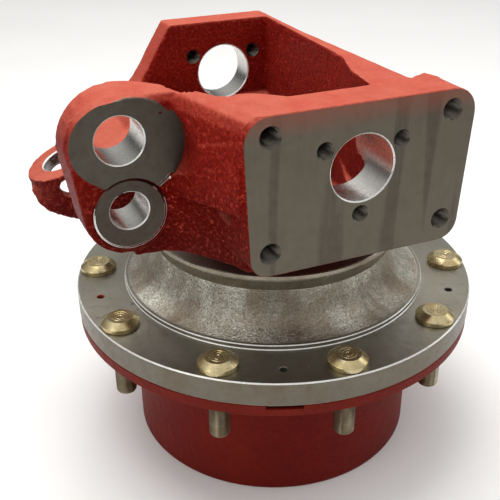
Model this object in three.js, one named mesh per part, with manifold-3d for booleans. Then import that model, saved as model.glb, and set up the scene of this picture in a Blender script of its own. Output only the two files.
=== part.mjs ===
// Steered wheel-end planetary gearbox: a steering knuckle with its spindle, a
// wheel hub on two taper roller bearings, and a single-stage planetary
// reduction closed by the planet carrier cover.  Millimetres, +Z up.
// The origin is the centre of the cover's flat end face, on the wheel axis; the
// wheel axis is Z, the kingpin axis is parallel to Y, and -Y is the front.
import * as THREE from "three";
import { mergeVertices } from "three/addons/utils/BufferGeometryUtils.js";
import { ConvexGeometry } from "three/addons/geometries/ConvexGeometry.js";
import Module from "manifold-3d";

const wasm = await Module();
wasm.setup();

// ---------------------------------------------------------------- dimensions
const GAP = 0.3; // play kept between fitted pieces

// wheel flanges
const FLANGE_R = 186.0;
const HUB_FLANGE_Z = [136.3, 158.3];
const COVER_FLANGE_R = 185.6;
const COVER_FLANGE_Z = [125.9, 136.0];
const COVER_BARREL_R = 135.1;
const COVER_CAVITY_R = 118.0;
const COVER_FLOOR_Z = 12.0;
const PILOT_R = 119.4;

// wheel studs
const STUD_COUNT = 10;
const STUD_PCR = 167.5;
const STUD_PHASE = -21.55;
const STUD_R = 8.9;
const STUD_HEAD_R = 16.7;
const STUD_HEAD_TOP_R = 10.3;
const STUD_HEAD_H = 8.7;
const STUD_TIP_Z = 90.0;

// cover screws
const SCREW_COUNT = 5;
const SCREW_PCR = 167.0;
const SCREW_PHASE = -111.55;

// hub dish and collar
const LIP_R = 141.2;
const LIP_H = 4.4;
const COLLAR_LOW = [110.0, 196.5];
const COLLAR_TOP = [113.0, 207.2];

// kingpin trunnions
const KNUCKLE_TOP = 368.5;
const KNUCKLE_BOTTOM = 245.0;
const KINGPIN_Z = 318.5;
const KINGPIN_R = 26.0;
const FRONT_Y = [-155.0, -121.0];
const REAR_Y = [118.8, 145.8];
const PLATE_HALF_TOP = 94.0;
const PLATE_HALF_BOTTOM = 89.0;

// steering arm bosses
const BOSS_Y = -72.0;
const LUG_BACK_Y = -32.0;
// the upper pad is an oval: two circles drawn together, flattened at the top
const BOSS1 = {
  pad: [
    { x: -162.1, z: 331.6, r: 32.6 },
    { x: -147.1, z: 328.7, r: 37.2 },
  ],
  top: { x: -152.8, z: 317.4, r: 49.2 },
};
const BORE1 = { x: -156.6, z: 334.8, r: 18.9 };
const BOSS2 = { x: -152.6, z: 274.6, r: 27.9 };
const BORE2 = { x: -153.0, z: 277.6, r: 15.3 };

// track rod ear
const EAR = { x: -170.5, y: 100.0, z: 261.5, r: 37.0, bore: 20.3, t: 11.0 };
const EAR_TILT = 21.6;

// spindle
const SPINDLE_BORE = 24.0;
const SEAL_JOURNAL_R = 64.0;
const INNER_SEAT_R = 55.0;
const OUTER_SEAT_R = 42.3;
const SPINDLE_END = 56.0;

// gears
const MODULE = 3.0;
const Z_SUN = 15;
const Z_PLANET = 24;
const Z_RING = 63;
const PRESSURE = 20.0;
const BACKLASH = 0.32;
const GEAR_Z = [17.0, 49.0];
const RING_Z = [14.5, 82.0];
const PLANET_COUNT = 3;
const PLANET_ANGLE0 = 90.0;
const PLANET_PCR = ((Z_SUN + Z_PLANET) * MODULE) / 2;

// ------------------------------------------------------------------ helpers
const D2R = Math.PI / 180;

function toSolid(geometry) {
  let g = geometry.index ? geometry.toNonIndexed() : geometry.clone();
  const clean = new THREE.BufferGeometry().setAttribute(
    "position",
    g.getAttribute("position"),
  );
  g = mergeVertices(clean, 1e-4);
  const solid = new wasm.Manifold(
    new wasm.Mesh({
      numProp: 3,
      vertProperties: new Float32Array(g.attributes.position.array),
      triVerts: new Uint32Array(g.index.array),
    }),
  );
  if (solid.volume() < 0) throw new Error("a piece is inside out");
  return solid;
}

function toGeometry(solid) {
  const m = solid.getMesh();
  const n = m.numProp;
  const v = new Float32Array(m.numVert * 3);
  for (let i = 0; i < m.numVert; i++)
    v.set(m.vertProperties.subarray(i * n, i * n + 3), i * 3);
  const g = new THREE.BufferGeometry()
    .setAttribute("position", new THREE.BufferAttribute(v, 3))
    .setIndex(new THREE.BufferAttribute(new Uint32Array(m.triVerts), 1));
  const flat = g.toNonIndexed();
  flat.computeVertexNormals();
  return flat;
}

const join = (list) => list.reduce((a, b) => a.add(b));
const cut = (a, list) => list.reduce((s, b) => s.subtract(b), a);

// A turned solid or ring about Z from [r, z] points; a profile off the axis is
// closed on itself.
function turned(points, segments = 32, phase = 0) {
  const pts = points.map(([r, z]) => new THREE.Vector2(r, z));
  const onAxis = points[0][0] === 0 && points[points.length - 1][0] === 0;
  if (!onAxis) pts.push(pts[0].clone());
  let area = 0;
  for (let i = 0; i < pts.length; i++) {
    const a = pts[i];
    const b = pts[(i + 1) % pts.length];
    area += a.x * b.y - b.x * a.y;
  }
  if (area < 0) pts.reverse();
  const g = new THREE.LatheGeometry(pts, segments, phase, Math.PI * 2);
  g.rotateX(Math.PI / 2);
  return toSolid(g);
}

// A cylinder of radius r along Z.
function cylZ(x, y, r, z0, z1, segments = 24, rTop = r) {
  const g = new THREE.CylinderGeometry(rTop, r, z1 - z0, segments, 1);
  g.rotateX(Math.PI / 2);
  g.translate(x, y, (z0 + z1) / 2);
  return toSolid(g);
}

// A cylinder of radius r along Y; rBack is the radius at y1.
function cylY(x, z, r, y0, y1, segments = 32, rBack = r) {
  const g = new THREE.CylinderGeometry(rBack, r, y1 - y0, segments, 1);
  g.translate(x, (y0 + y1) / 2, z);
  return toSolid(g);
}

function block(x0, x1, y0, y1, z0, z1) {
  const g = new THREE.BoxGeometry(x1 - x0, y1 - y0, z1 - z0);
  g.translate((x0 + x1) / 2, (y0 + y1) / 2, (z0 + z1) / 2);
  return toSolid(g);
}

function shapeOf(points) {
  const s = new THREE.Shape();
  points.forEach(([a, b], i) => (i ? s.lineTo(a, b) : s.moveTo(a, b)));
  s.closePath();
  return s;
}

// An outline in XY raised from z0 to z1.
function prismZ(points, z0, z1) {
  const g = new THREE.ExtrudeGeometry(shapeOf(points), {
    depth: z1 - z0,
    bevelEnabled: false,
    steps: 1,
  });
  g.translate(0, 0, z0);
  return toSolid(g);
}

// An outline in XZ carried from y0 to y1.
function prismY(points, y0, y1) {
  const g = new THREE.ExtrudeGeometry(shapeOf(points), {
    depth: y1 - y0,
    bevelEnabled: false,
    steps: 1,
  });
  g.rotateX(Math.PI / 2);
  g.translate(0, y1, 0);
  return toSolid(g);
}

// The convex body round a set of [x, y, z] points.
function hull(points) {
  return toSolid(
    new ConvexGeometry(points.map((p) => new THREE.Vector3(...p))),
  );
}

// Points of a circle in a plane y = const.
function ringY(x, z, r, y, n = 24) {
  const out = [];
  for (let i = 0; i < n; i++) {
    const a = (i / n) * Math.PI * 2;
    out.push([x + r * Math.cos(a), y, z + r * Math.sin(a)]);
  }
  return out;
}

// Points of a circle in a plane z = const.
function ringZ(x, y, r, z, n = 24) {
  const out = [];
  for (let i = 0; i < n; i++) {
    const a = (i / n) * Math.PI * 2;
    out.push([x + r * Math.cos(a), y + r * Math.sin(a), z]);
  }
  return out;
}

// A polygon whose corners are rounded; each entry is [x, y, radius].
function rounded(corners, steps = 5) {
  const out = [];
  const n = corners.length;
  for (let i = 0; i < n; i++) {
    const [px, py] = corners[(i + n - 1) % n];
    const [cx, cy, r = 0] = corners[i];
    const [nx, ny] = corners[(i + 1) % n];
    if (!r) {
      out.push([cx, cy]);
      continue;
    }
    const a = new THREE.Vector2(px - cx, py - cy).normalize();
    const b = new THREE.Vector2(nx - cx, ny - cy).normalize();
    const half = Math.acos(THREE.MathUtils.clamp(a.dot(b), -1, 1)) / 2;
    const d = r / Math.tan(half);
    const mid = a.clone().add(b).normalize();
    const c = new THREE.Vector2(cx, cy).addScaledVector(mid, r / Math.sin(half));
    const s = new THREE.Vector2(cx, cy).addScaledVector(a, d).sub(c);
    const e = new THREE.Vector2(cx, cy).addScaledVector(b, d).sub(c);
    const a0 = Math.atan2(s.y, s.x);
    let a1 = Math.atan2(e.y, e.x) - a0;
    while (a1 > Math.PI) a1 -= 2 * Math.PI;
    while (a1 < -Math.PI) a1 += 2 * Math.PI;
    for (let k = 0; k <= steps; k++) {
      const t = a0 + (a1 * k) / steps;
      out.push([c.x + r * Math.cos(t), c.y + r * Math.sin(t)]);
    }
  }
  return out;
}

const polar = (r, deg) => [r * Math.cos(deg * D2R), r * Math.sin(deg * D2R)];

// ------------------------------------------------------------------- gearing
// The outline of an involute gear of `teeth` teeth; a tooth is centred on
// `phase` (radians).  thin < 0 makes the teeth thicker.
function gearOutline(teeth, tip, root, thin, phase, flank = 4) {
  const rp = (MODULE * teeth) / 2;
  const rb = rp * Math.cos(PRESSURE * D2R);
  const inv = (a) => Math.tan(a) - a;
  const halfAtPitch = Math.PI / (2 * teeth) - thin / (2 * rp);
  const halfAt = (r) => {
    const rr = Math.max(r, rb);
    return halfAtPitch + inv(PRESSURE * D2R) - inv(Math.acos(rb / rr));
  };
  const start = Math.max(root, rb);
  const rs = [];
  if (root < rb) rs.push(root);
  for (let i = 0; i < flank; i++)
    rs.push(start + ((tip - start) * i) / (flank - 1));
  const out = [];
  for (let k = 0; k < teeth; k++) {
    const c = phase + (2 * Math.PI * k) / teeth;
    for (let i = 0; i < rs.length; i++) {
      const a = c - halfAt(rs[i]);
      out.push([rs[i] * Math.cos(a), rs[i] * Math.sin(a)]);
    }
    for (let i = rs.length - 1; i >= 0; i--) {
      const a = c + halfAt(rs[i]);
      out.push([rs[i] * Math.cos(a), rs[i] * Math.sin(a)]);
    }
  }
  return out;
}

const R_SUN = (MODULE * Z_SUN) / 2;
const R_PLANET = (MODULE * Z_PLANET) / 2;
const R_RING = (MODULE * Z_RING) / 2;

const sunPhase = 0;
function planetPhase(phi) {
  const pitch = (2 * Math.PI) / Z_SUN;
  const k = Math.round((phi - sunPhase) / pitch);
  const arc = (sunPhase + k * pitch - phi) * R_SUN;
  return phi + Math.PI - arc / R_PLANET + Math.PI / Z_PLANET;
}
const firstPhi = PLANET_ANGLE0 * D2R;
const ringPhase = (() => {
  const pitch = (2 * Math.PI) / Z_PLANET;
  const ps = planetPhase(firstPhi);
  const k = Math.round((firstPhi - ps) / pitch);
  const off = ps + k * pitch - firstPhi;
  return firstPhi + (off * R_PLANET) / R_RING;
})();

// ----------------------------------------------------------------- materials
const paint = (color, roughness) =>
  new THREE.MeshStandardMaterial({ color, roughness, metalness: 0.0 });
const steel = (color, roughness) =>
  new THREE.MeshStandardMaterial({ color, roughness, metalness: 0.9 });
const RED = paint(0xb23422, 0.55);
const COVER_RED = paint(0x7c2013, 0.6);
const CAST = steel(0x8a8072, 0.55);
const TURNED = steel(0xa9a7a2, 0.3);
const ZINC = steel(0xb49a5e, 0.35);
const GEAR = steel(0x8d9094, 0.28);
const BRONZE = steel(0xa9793c, 0.4);
const BLACK = new THREE.MeshStandardMaterial({
  color: 0x17181a,
  roughness: 0.8,
  metalness: 0.0,
});

const gearbox = new THREE.Group();
gearbox.name = "planetary_wheel_end";

function place(name, solid, material, parent = gearbox, position = null) {
  const mesh = new THREE.Mesh(toGeometry(solid), material);
  mesh.name = name;
  if (position) mesh.position.set(...position);
  parent.add(mesh);
  return mesh;
}

// ---------------------------------------------------------- steering knuckle
function knuckle() {
  // front trunnion plate, thicker and chamfered at its right end
  const plateOutline = rounded([
    [-PLATE_HALF_TOP - 0.9, KNUCKLE_TOP, 20],
    [-PLATE_HALF_BOTTOM + 0.6, KNUCKLE_BOTTOM, 16],
    [PLATE_HALF_BOTTOM - 0.6, KNUCKLE_BOTTOM, 16],
    [PLATE_HALF_TOP + 0.9, KNUCKLE_TOP, 20],
  ]);
  const front = prismY(plateOutline, FRONT_Y[0], FRONT_Y[1]);
  const thickEnd = hull([
    [48, -125, 252],
    [86, -125, 256],
    [91.5, -125, 348],
    [80, -125, KNUCKLE_TOP],
    [48, -125, KNUCKLE_TOP],
    [56, -120.5, KNUCKLE_TOP],
    [79, -106, KNUCKLE_TOP - 1],
    [88, -106, 345],
    [84, -106, 262],
    [56, -106, 256],
    [50, -120.5, 256],
  ]);

  // rear trunnion plate, its shoulders sloping out towards the bottom
  const rearOutline = [
    [-53.7, KNUCKLE_TOP],
    [-61.5, 356.5],
    [-70.4, 342.5],
    [-77, 331],
    [-85, 319.5],
    [-96, 306],
    [-104, 292],
    [-104, 258],
    [-88, 246],
    [88, 246],
    [98, 262],
    [96, 296],
    [86, 316],
    [72, 342],
    [60, 357],
    [50.5, KNUCKLE_TOP],
  ];
  const rear = prismY(rearOutline, REAR_Y[0], REAR_Y[1]);

  // base: a thick bowl between the two trunnions
  const base = hull([
    ...ringZ(0, 0, 84, 236, 16),
    [-86, -130, 247],
    [86, -130, 247],
    [92, -60, 262],
    [-96, -40, 262],
    [94, 60, 264],
    [-100, 60, 264],
    [-90, 132, 248],
    [90, 132, 248],
    [-92, -121, 276],
    [88, -121, 276],
    [-100, 119, 292],
    [94, 119, 292],
    [-99, 30, 280],
    [92, 30, 288],
    [88, -40, 288],
    [-94, -60, 270],
  ]);

  // right wall, outer face flaring out towards the base
  const rightWall = hull([
    [46, 132, KNUCKLE_TOP],
    [50.5, 132, KNUCKLE_TOP],
    [50, 52, KNUCKLE_TOP],
    [44, 52, KNUCKLE_TOP],
    [46, 132, 262],
    [92, 132, 262],
    [92, 40, 262],
    [44, 40, 262],
    [84, 132, 318],
    [80, 46, 318],
  ])
    .add(
      hull([
        [44, 54, KNUCKLE_TOP],
        [50, 54, KNUCKLE_TOP],
        [54.5, -40, KNUCKLE_TOP],
        [41.5, -44, KNUCKLE_TOP],
        [44, 54, 262],
        [92, 54, 262],
        [90, -44, 262],
        [41, -44, 262],
        [80, 54, 318],
        [78, -40, 318],
      ]),
    )
    .add(
      hull([
        [41.5, -42, KNUCKLE_TOP],
        [54.5, -38, KNUCKLE_TOP],
        [58.5, -123, KNUCKLE_TOP],
        [22, -123, KNUCKLE_TOP],
        [28, -82, KNUCKLE_TOP],
        [40, -42, 262],
        [90, -38, 262],
        [90, -123, 262],
        [24, -123, 262],
        [30, -82, 262],
        [80, -40, 318],
        [84, -123, 318],
      ]),
    );

  // steering arm: top band, rib and recessed web between plate and bosses
  const band = prismZ(
    [
      [-62, -155],
      [-92.5, -154.8],
      [-94.5, -150],
      [-117.5, -60],
      [-150, -60],
      [-150, -33],
      [-136, -37],
      [-124, -49],
      [-110, -66],
      [-98, -85],
      [-90, -99.5],
      [-82, -103.5],
      [-73, -100.5],
      [-60, -106],
      [-46, -119],
      [-40, -130],
    ],
    300,
    KNUCKLE_TOP,
  );
  // the band's upper front edge, rounded by two flats
  const edgeCut = (in0, z0, in1, z1) =>
    hull([
      [-93 + in0, -160, z0],
      [-93 + in1, -160, z1],
      [-118.6 + in0, -56, z0],
      [-118.6 + in1, -56, z1],
      [-120, -162, z0],
      [-120, -162, z1 + 8],
      [-140, -60, z0],
      [-140, -60, z1 + 8],
      [-93 + in1, -160, z1 + 8],
      [-118.6 + in1, -56, z1 + 8],
    ]);
  const bandRounded = cut(band, [
    edgeCut(0, 353, 4.5, 364),
    edgeCut(4.5, 364, 14, 369.5),
  ]);
  // fills the corner between the lug's round top and the band
  const saddle = hull([
    [-152, -68.8, 366.2],
    [-140, -68.8, 364.4],
    [-130, -68.8, 360],
    [-122, -68.8, 353.8],
    [-115.5, -69.5, 350],
    [-152, -57, 368.3],
    [-130, -57, 368.4],
    [-118, -57.5, 368.4],
    [-110, -68.5, 366],
    [-111.8, -72, 358],
    [-114.4, -72, 351],
    [-114.4, -72, 338],
    [-118, -57.5, 338],
    [-130, -50, 338],
    [-152, -50, 338],
    [-152, -68.8, 338],
  ]);
  const rib = hull([
    [-91.5, -154.5, 353],
    [-94.8, -154.5, 351],
    [-95.5, -154.5, 296.5],
    [-84, -140, 294],
    [-80, -130, 347],
    [-118.2, -66, 320.5],
    [-114, -62, 326],
    [-119.5, -64, 284],
    [-106, -62, 281],
    [-100, -64, 325],
  ]);
  const web = prismZ(
    [
      [-58, -130],
      [-80, -126],
      [-84, -113],
      [-99, -91.5],
      [-112, -75],
      [-124, -67.5],
      [-150, -64],
      [-150, -36],
      [-124, -50],
      [-110, -66],
      [-96, -86],
      [-80, -100],
      [-60, -104],
    ],
    234,
    330,
  );
  const lug = hull([
    ...ringY(-152, 323.4, 45, LUG_BACK_Y, 24),
    ...ringY(-152, 323.4, 43, BOSS_Y + 3, 24),
    ...ringY(-152.6, 276, 36.5, LUG_BACK_Y + 2, 20),
    ...ringY(-152.6, 276, 36, BOSS_Y + 3, 20),
  ]);
  const boss1 = hull(
    BOSS1.pad.flatMap(({ x, z, r }) => [
      ...ringY(x, z, r, BOSS_Y, 32),
      ...ringY(x, z, r, BOSS_Y + 8, 32),
    ]),
  ).intersect(
    cylY(BOSS1.top.x, BOSS1.top.z, BOSS1.top.r, BOSS_Y - 1, BOSS_Y + 9, 64),
  ).subtract(cylY(BOSS2.x, BOSS2.z, BOSS2.r, BOSS_Y - 1, BOSS_Y + 1.2, 28));
  const boss2 = cylY(BOSS2.x, BOSS2.z, BOSS2.r, BOSS_Y + 1.2, BOSS_Y + 8, 28);

  // track rod ear: a tilted plate with a skirt wall along its front edge
  const c = Math.cos(EAR_TILT * D2R);
  const s = Math.sin(EAR_TILT * D2R);
  // (u, y, n): along the slope, along Y, along the plate's normal
  const onEar = (u, y, n) => [
    EAR.x + u * c - n * s,
    y,
    EAR.z + u * s + n * c,
  ];
  const earPts = [];
  for (let k = 0; k <= 8; k++) {
    const a = (90 + 22.5 * k) * D2R;
    earPts.push([EAR.r * Math.cos(a), EAR.y + EAR.r * Math.sin(a)]);
  }
  const earPlate = hull([
    ...earPts.map(([u, y]) => onEar(u, y, 0)),
    ...earPts.map(([u, y]) => onEar(u, y, -EAR.t)),
    onEar(92, 58, 0),
    onEar(92, 58, -18),
    onEar(92, 145.5, 0),
    onEar(92, 145.5, -18),
  ]);
  const skirtLow = [
    [-205.4, 84, 240],
    [-201.5, 74, 230.5],
    [-195.5, 68, 225],
    [-187.5, 64.5, 220.5],
    [-172, 62.5, 214],
  ];
  const skirtTop = [186, 204, 222, 246, 270].map((a) => [
    EAR.r * Math.cos(a * D2R),
    EAR.y + EAR.r * Math.sin(a * D2R),
  ]);
  const skirt = join(
    [0, 1, 2, 3].map((k) => {
      const inset = (u, y) => {
        const d = Math.hypot(u, y - EAR.y);
        const f = (d - 11) / d;
        return [u * f, EAR.y + (y - EAR.y) * f];
      };
      const pts = [];
      for (const q of [k, k + 1]) {
        const [u, y] = skirtTop[q];
        pts.push(onEar(u, y, -4), onEar(...inset(u, y), -4));
        const [lx, ly, lz] = skirtLow[q];
        pts.push([lx, ly, lz], [lx + 4, ly + 11, lz]);
      }
      return hull(pts);
    }),
  ).add(
    hull([
      onEar(-4, 63, -4),
      onEar(-4, 75, -4),
      onEar(92, 58, -4),
      onEar(92, 76, -4),
      [-176, 62.6, 215.5],
      [-176, 74, 215.5],
      [-140, 60.5, 206],
      [-140, 74, 206],
      [-82, 57, 222],
      [-82, 78, 222],
    ]),
  );
  // wing that carries the ear's slope up to the rear plate's shoulder
  const wing = hull([
    onEar(60, 84, -2),
    onEar(60, 145, -2),
    onEar(92, 62, -2),
    [-84, 119.5, 319],
    [-84, 145.5, 319],
    [-80, 119.5, 319],
    [-80, 145.5, 319],
    [-80, 62, 262],
    [-80, 145.5, 250],
    [-112, 145, 250],
  ]);

  // spindle
  const spindle = turned(
    [
      [0, SPINDLE_END],
      [37, SPINDLE_END],
      [37, 69],
      [38.3, 69.2],
      [38.3, 90.5],
      [OUTER_SEAT_R, 90.8],
      [OUTER_SEAT_R, 121],
      [50, 124],
      [50, 156],
      [INNER_SEAT_R, 160],
      [INNER_SEAT_R, 192.4],
      [SEAL_JOURNAL_R, 192.6],
      [SEAL_JOURNAL_R, 208],
      [78, 209],
      [84, 237],
      [84, 250],
      [0, 250],
    ],
    32,
  );

  let body = join([
    front,
    thickEnd,
    rear,
    base,
    rightWall,
    bandRounded,
    saddle,
    rib,
    web,
    lug,
    boss1,
    boss2,
    earPlate,
    skirt,
    wing,
    spindle,
    prismZ(splineOutline(16, 38.0, 39.8), 69.4, 89.8),
  ]);

  // cavity between the trunnions, open at the top and to the left
  const cavity = hull([
    [-130, -60, 300],
    [-130, 118.8, 322],
    [-46, -119, 300],
    [20, -119, 300],
    [27, -82, 300],
    [41, -44, 300],
    [43.5, 52, 300],
    [45.5, 118.8, 300],
    [-84, -98, 300],
    [-46, -119, 372],
    [20, -119, 372],
    [27, -82, 372],
    [41, -44, 372],
    [43.5, 52, 372],
    [45.5, 118.8, 372],
    [-130, 118.8, 372],
    [-130, -20, 372],
    [-84, -96, 372],
  ]);
  // keeps the arm's top band outside the cavity
  const cavityTrim = prismZ(
    [
      [-46, -118.5],
      [21, -118.5],
      [27.5, -82],
      [41.3, -44],
      [43.8, 52],
      [45.8, 118.8],
      [-140, 118.8],
      [-140, -10],
      [-124, -49],
      [-110, -66],
      [-98, -85],
      [-90, -99.5],
      [-82, -103.5],
      [-73, -100.5],
      [-60, -106],
    ],
    240,
    380,
  );
  const bowl = hull([
    ...ringZ(0, 0, 50, 250, 16),
    [-70, -92, 285],
    [16, -112, 285],
    [26, -82, 270],
    [38, -44, 262],
    [40, 52, 262],
    [42, 110, 270],
    [-62, 112, 275],
    [-84, 90, 296],
    [-84, -40, 296],
    [-88, 112, 312],
    [43, 112, 312],
    [40, -44, 312],
    [16, -114, 312],
    [-70, -96, 312],
    [-96, -40, 312],
    [-96, 90, 312],
  ]);

  const cuts = [
    cavity.intersect(cavityTrim),
    bowl.intersect(
      prismZ(
        [
          [-62, -106],
          [-46, -118.5],
          [21, -118.5],
          [27.5, -82],
          [41.3, -44],
          [43.8, 52],
          [45.8, 118.8],
          [-140, 118.8],
          [-140, -30],
          [-98, -70],
          [-84, -96],
        ],
        240,
        380,
      ),
    ),
    // kingpin bores
    cylY(0, KINGPIN_Z, KINGPIN_R, FRONT_Y[0] - 10, -90, 32),
    cylY(0, KINGPIN_Z, KINGPIN_R, 90, REAR_Y[1] + 10, 32),
    // boss bores
    cylY(BORE1.x, BORE1.z, BORE1.r, BOSS_Y - 6, LUG_BACK_Y + 6, 24),
    cylY(BORE2.x, BORE2.z, BORE2.r, BOSS_Y - 6, LUG_BACK_Y + 6, 24),
    // shaft passage with pockets for the bush and the lip seal
    cylZ(0, 0, SPINDLE_BORE, SPINDLE_END - 5, 300, 20),
    cylZ(0, 0, 27.3, 214, 300, 20),
    cylZ(0, 0, 31.3, 238, 300, 20),
  ];

  // tapped holes of the trunnion plates
  for (const [x, z] of [
    [-73.5, 352.8],
    [73.5, 352.8],
    [-73, 264],
    [73, 264],
  ])
    cuts.push(cylY(x, z, 7.4, FRONT_Y[0] - 1, FRONT_Y[0] + 28, 10));
  for (const a of [150, 30, -90]) {
    const [dx, dz] = polar(36.1, a);
    cuts.push(
      cylY(dx, KINGPIN_Z + dz, 6.0, FRONT_Y[0] - 1, FRONT_Y[0] + 22, 10),
      cylY(dx, KINGPIN_Z + dz, 6.0, REAR_Y[0] - 8, REAR_Y[1] + 1, 10),
    );
  }

  // ear bore, square to the tilted plate, and the cross hole in its skirt
  const bore = new THREE.CylinderGeometry(EAR.bore, EAR.bore, 120, 24);
  bore.rotateX(Math.PI / 2);
  bore.rotateY(-EAR_TILT * D2R);
  bore.translate(EAR.x, EAR.y, EAR.z);
  cuts.push(toSolid(bore));
  cuts.push(cylY(-173, 246.2, 8.6, 50, 78.5, 12));

  body = cut(body, cuts);
  return body;
}

function splineOutline(n, r0, r1) {
  const out = [];
  for (let k = 0; k < n; k++) {
    for (const [f, r] of [
      [-0.46, r0],
      [-0.25, r1],
      [0.25, r1],
      [0.46, r0],
    ])
      out.push(polar(r, ((k + f) * 360) / n));
  }
  return out;
}

place("steering_knuckle", knuckle(), RED);

// a flat steel ring that covers the hub seal from above
place(
  "seal_retainer_ring",
  turned(
    [
      [86.0, 209.0],
      [117.0, 209.0],
      [117.0, 214.0],
      [86.0, 214.0],
    ],
    40,
  ),
  CAST,
);

// ------------------------------------------------------------------ wheel hub
const studAngles = Array.from(
  { length: STUD_COUNT },
  (_, i) => -90 + STUD_PHASE + 36 * (i - 2.5),
);
const screwAngles = Array.from(
  { length: SCREW_COUNT },
  (_, i) => SCREW_PHASE + 72 * i,
);

const hubProfile = [
  [68.3, 92.5],
  [83, 92.5],
  [83, 112],
  [92, 126],
  [PILOT_R, 126],
  [PILOT_R, HUB_FLANGE_Z[0]],
  [FLANGE_R - 1, HUB_FLANGE_Z[0]],
  [FLANGE_R, HUB_FLANGE_Z[0] + 1],
  [FLANGE_R, HUB_FLANGE_Z[1] - 1],
  [FLANGE_R - 1, HUB_FLANGE_Z[1]],
  [LIP_R, HUB_FLANGE_Z[1]],
  [LIP_R - 0.8, HUB_FLANGE_Z[1] + LIP_H],
  [129, 165.2],
  [119, 171.2],
  [112.6, 182],
  COLLAR_LOW,
  COLLAR_TOP,
  [90.4, COLLAR_TOP[1]],
  [90.4, 189.5],
  [85.4, 189],
  [85.4, 159.6],
  [77, 159.6],
  [77, 152],
  [61.5, 148],
  [61.5, 120.2],
  [68.3, 120.2],
];
const hub = cut(turned(hubProfile, 40), [
  ...studAngles.map((a) =>
    cylZ(...polar(STUD_PCR, a), 9.6, HUB_FLANGE_Z[0] - 5, 165, 12),
  ),
  ...screwAngles.map((a) =>
    cylZ(...polar(SCREW_PCR, a), 3.2, HUB_FLANGE_Z[0] - 5, 165, 8),
  ),
  ...screwAngles.map((a) =>
    cylZ(...polar(SCREW_PCR, a), 5.4, HUB_FLANGE_Z[0] - 5, 150.5, 8),
  ),
]);
place("wheel_hub", hub, TURNED);

// ------------------------------------------------- wheel studs, cover screws
const studBody = turned(
  [
    [0, STUD_TIP_Z],
    [STUD_R - 1, STUD_TIP_Z],
    [STUD_R, STUD_TIP_Z + 1.2],
    [STUD_R, HUB_FLANGE_Z[1] + 0.3],
    [STUD_HEAD_R, HUB_FLANGE_Z[1] + 0.3],
    [STUD_HEAD_R, HUB_FLANGE_Z[1] + 4.3],
    [STUD_HEAD_TOP_R, HUB_FLANGE_Z[1] + STUD_HEAD_H],
    [0, HUB_FLANGE_Z[1] + STUD_HEAD_H],
  ],
  12,
);
studAngles.forEach((a, i) => {
  const [x, y] = polar(STUD_PCR, a);
  place(
    "wheel_stud_" + String(i + 1).padStart(2, "0"),
    studBody,
    ZINC,
    gearbox,
    [x, y, 0],
  );
});

const screwBody = turned(
  [
    [0, COVER_FLANGE_Z[0] + 0.4],
    [9.6, COVER_FLANGE_Z[0] + 0.4],
    [4.9, COVER_FLANGE_Z[0] + 5.4],
    [4.9, 149.4],
    [0, 149.4],
  ],
  8,
);
screwAngles.forEach((a, i) => {
  const [x, y] = polar(SCREW_PCR, a);
  place("cover_screw_" + (i + 1), screwBody, ZINC, gearbox, [x, y, 0]);
});

// ------------------------------------------------------- planet carrier cover
const planetAngles = Array.from(
  { length: PLANET_COUNT },
  (_, i) => PLANET_ANGLE0 + (360 / PLANET_COUNT) * i,
);
const coverProfile = [
  [0, 0],
  [COVER_BARREL_R - 1.2, 0],
  [COVER_BARREL_R, 1.2],
  [COVER_BARREL_R, COVER_FLANGE_Z[0] - 3],
  [COVER_BARREL_R + 3, COVER_FLANGE_Z[0]],
  [COVER_FLANGE_R, COVER_FLANGE_Z[0]],
  [COVER_FLANGE_R, COVER_FLANGE_Z[1]],
  [120.6, COVER_FLANGE_Z[1]],
  [120.6, 122],
  [COVER_CAVITY_R, 122],
  [COVER_CAVITY_R, 19],
  [112, COVER_FLOOR_Z],
  [0, COVER_FLOOR_Z],
];
let cover = turned(coverProfile, 40);
cover = join([
  cover,
  ...planetAngles.map((a) =>
    cylZ(...polar(PLANET_PCR, a), 24, COVER_FLOOR_Z - 1, 15, 16),
  ),
]);
const DRAIN_ANGLE = 68;
cover = cut(cover, [
  ...studAngles.map((a) => cylZ(...polar(STUD_PCR, a), 9.7, 120, 142, 12)),
  ...screwAngles.map((a) => cylZ(...polar(SCREW_PCR, a), 5.4, 120, 142, 8)),
  ...screwAngles.map((a) =>
    cylZ(
      ...polar(SCREW_PCR, a),
      12.0,
      COVER_FLANGE_Z[0] - 1,
      COVER_FLANGE_Z[0] + 5.8,
      8,
      5.4,
    ),
  ),
  ...planetAngles.map((a) => cylZ(...polar(PLANET_PCR, a), 16.4, 5, 30, 16)),
  // pocket of the thrust pad and the filler hole in the end face
  cylZ(0, 0, 15.4, 9.4, 30, 16),
  cylZ(...polar(96, 30), 9.4, -5, 30, 12),
  cylZ(...polar(96, 30), 14.0, -5, 4.2, 12),
  // drain hole through the barrel
  radialCylinder(9.4, 100, 150, DRAIN_ANGLE, 96, 12),
  radialCylinder(14.0, COVER_BARREL_R - 5.0, 150, DRAIN_ANGLE, 96, 12),
  // jacking slot in the flange's top edge
  slotAt(-111.5, 15, COVER_FLANGE_R - 12, COVER_FLANGE_R + 4, 132.8, 140),
]);
place("planet_carrier_cover", cover, COVER_RED);

function radialCylinder(r, from, to, deg, z, segments, rOut = r) {
  const g = new THREE.CylinderGeometry(rOut, r, to - from, segments, 1);
  g.rotateZ(-Math.PI / 2);
  g.translate((from + to) / 2, 0, 0);
  g.rotateZ(deg * D2R);
  g.translate(0, 0, z);
  return toSolid(g);
}
function slotAt(deg, half, r0, r1, z0, z1) {
  const g = new THREE.BoxGeometry(r1 - r0, 2 * half, z1 - z0);
  g.translate((r0 + r1) / 2, 0, (z0 + z1) / 2);
  g.rotateZ(deg * D2R);
  return toSolid(g);
}

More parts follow.
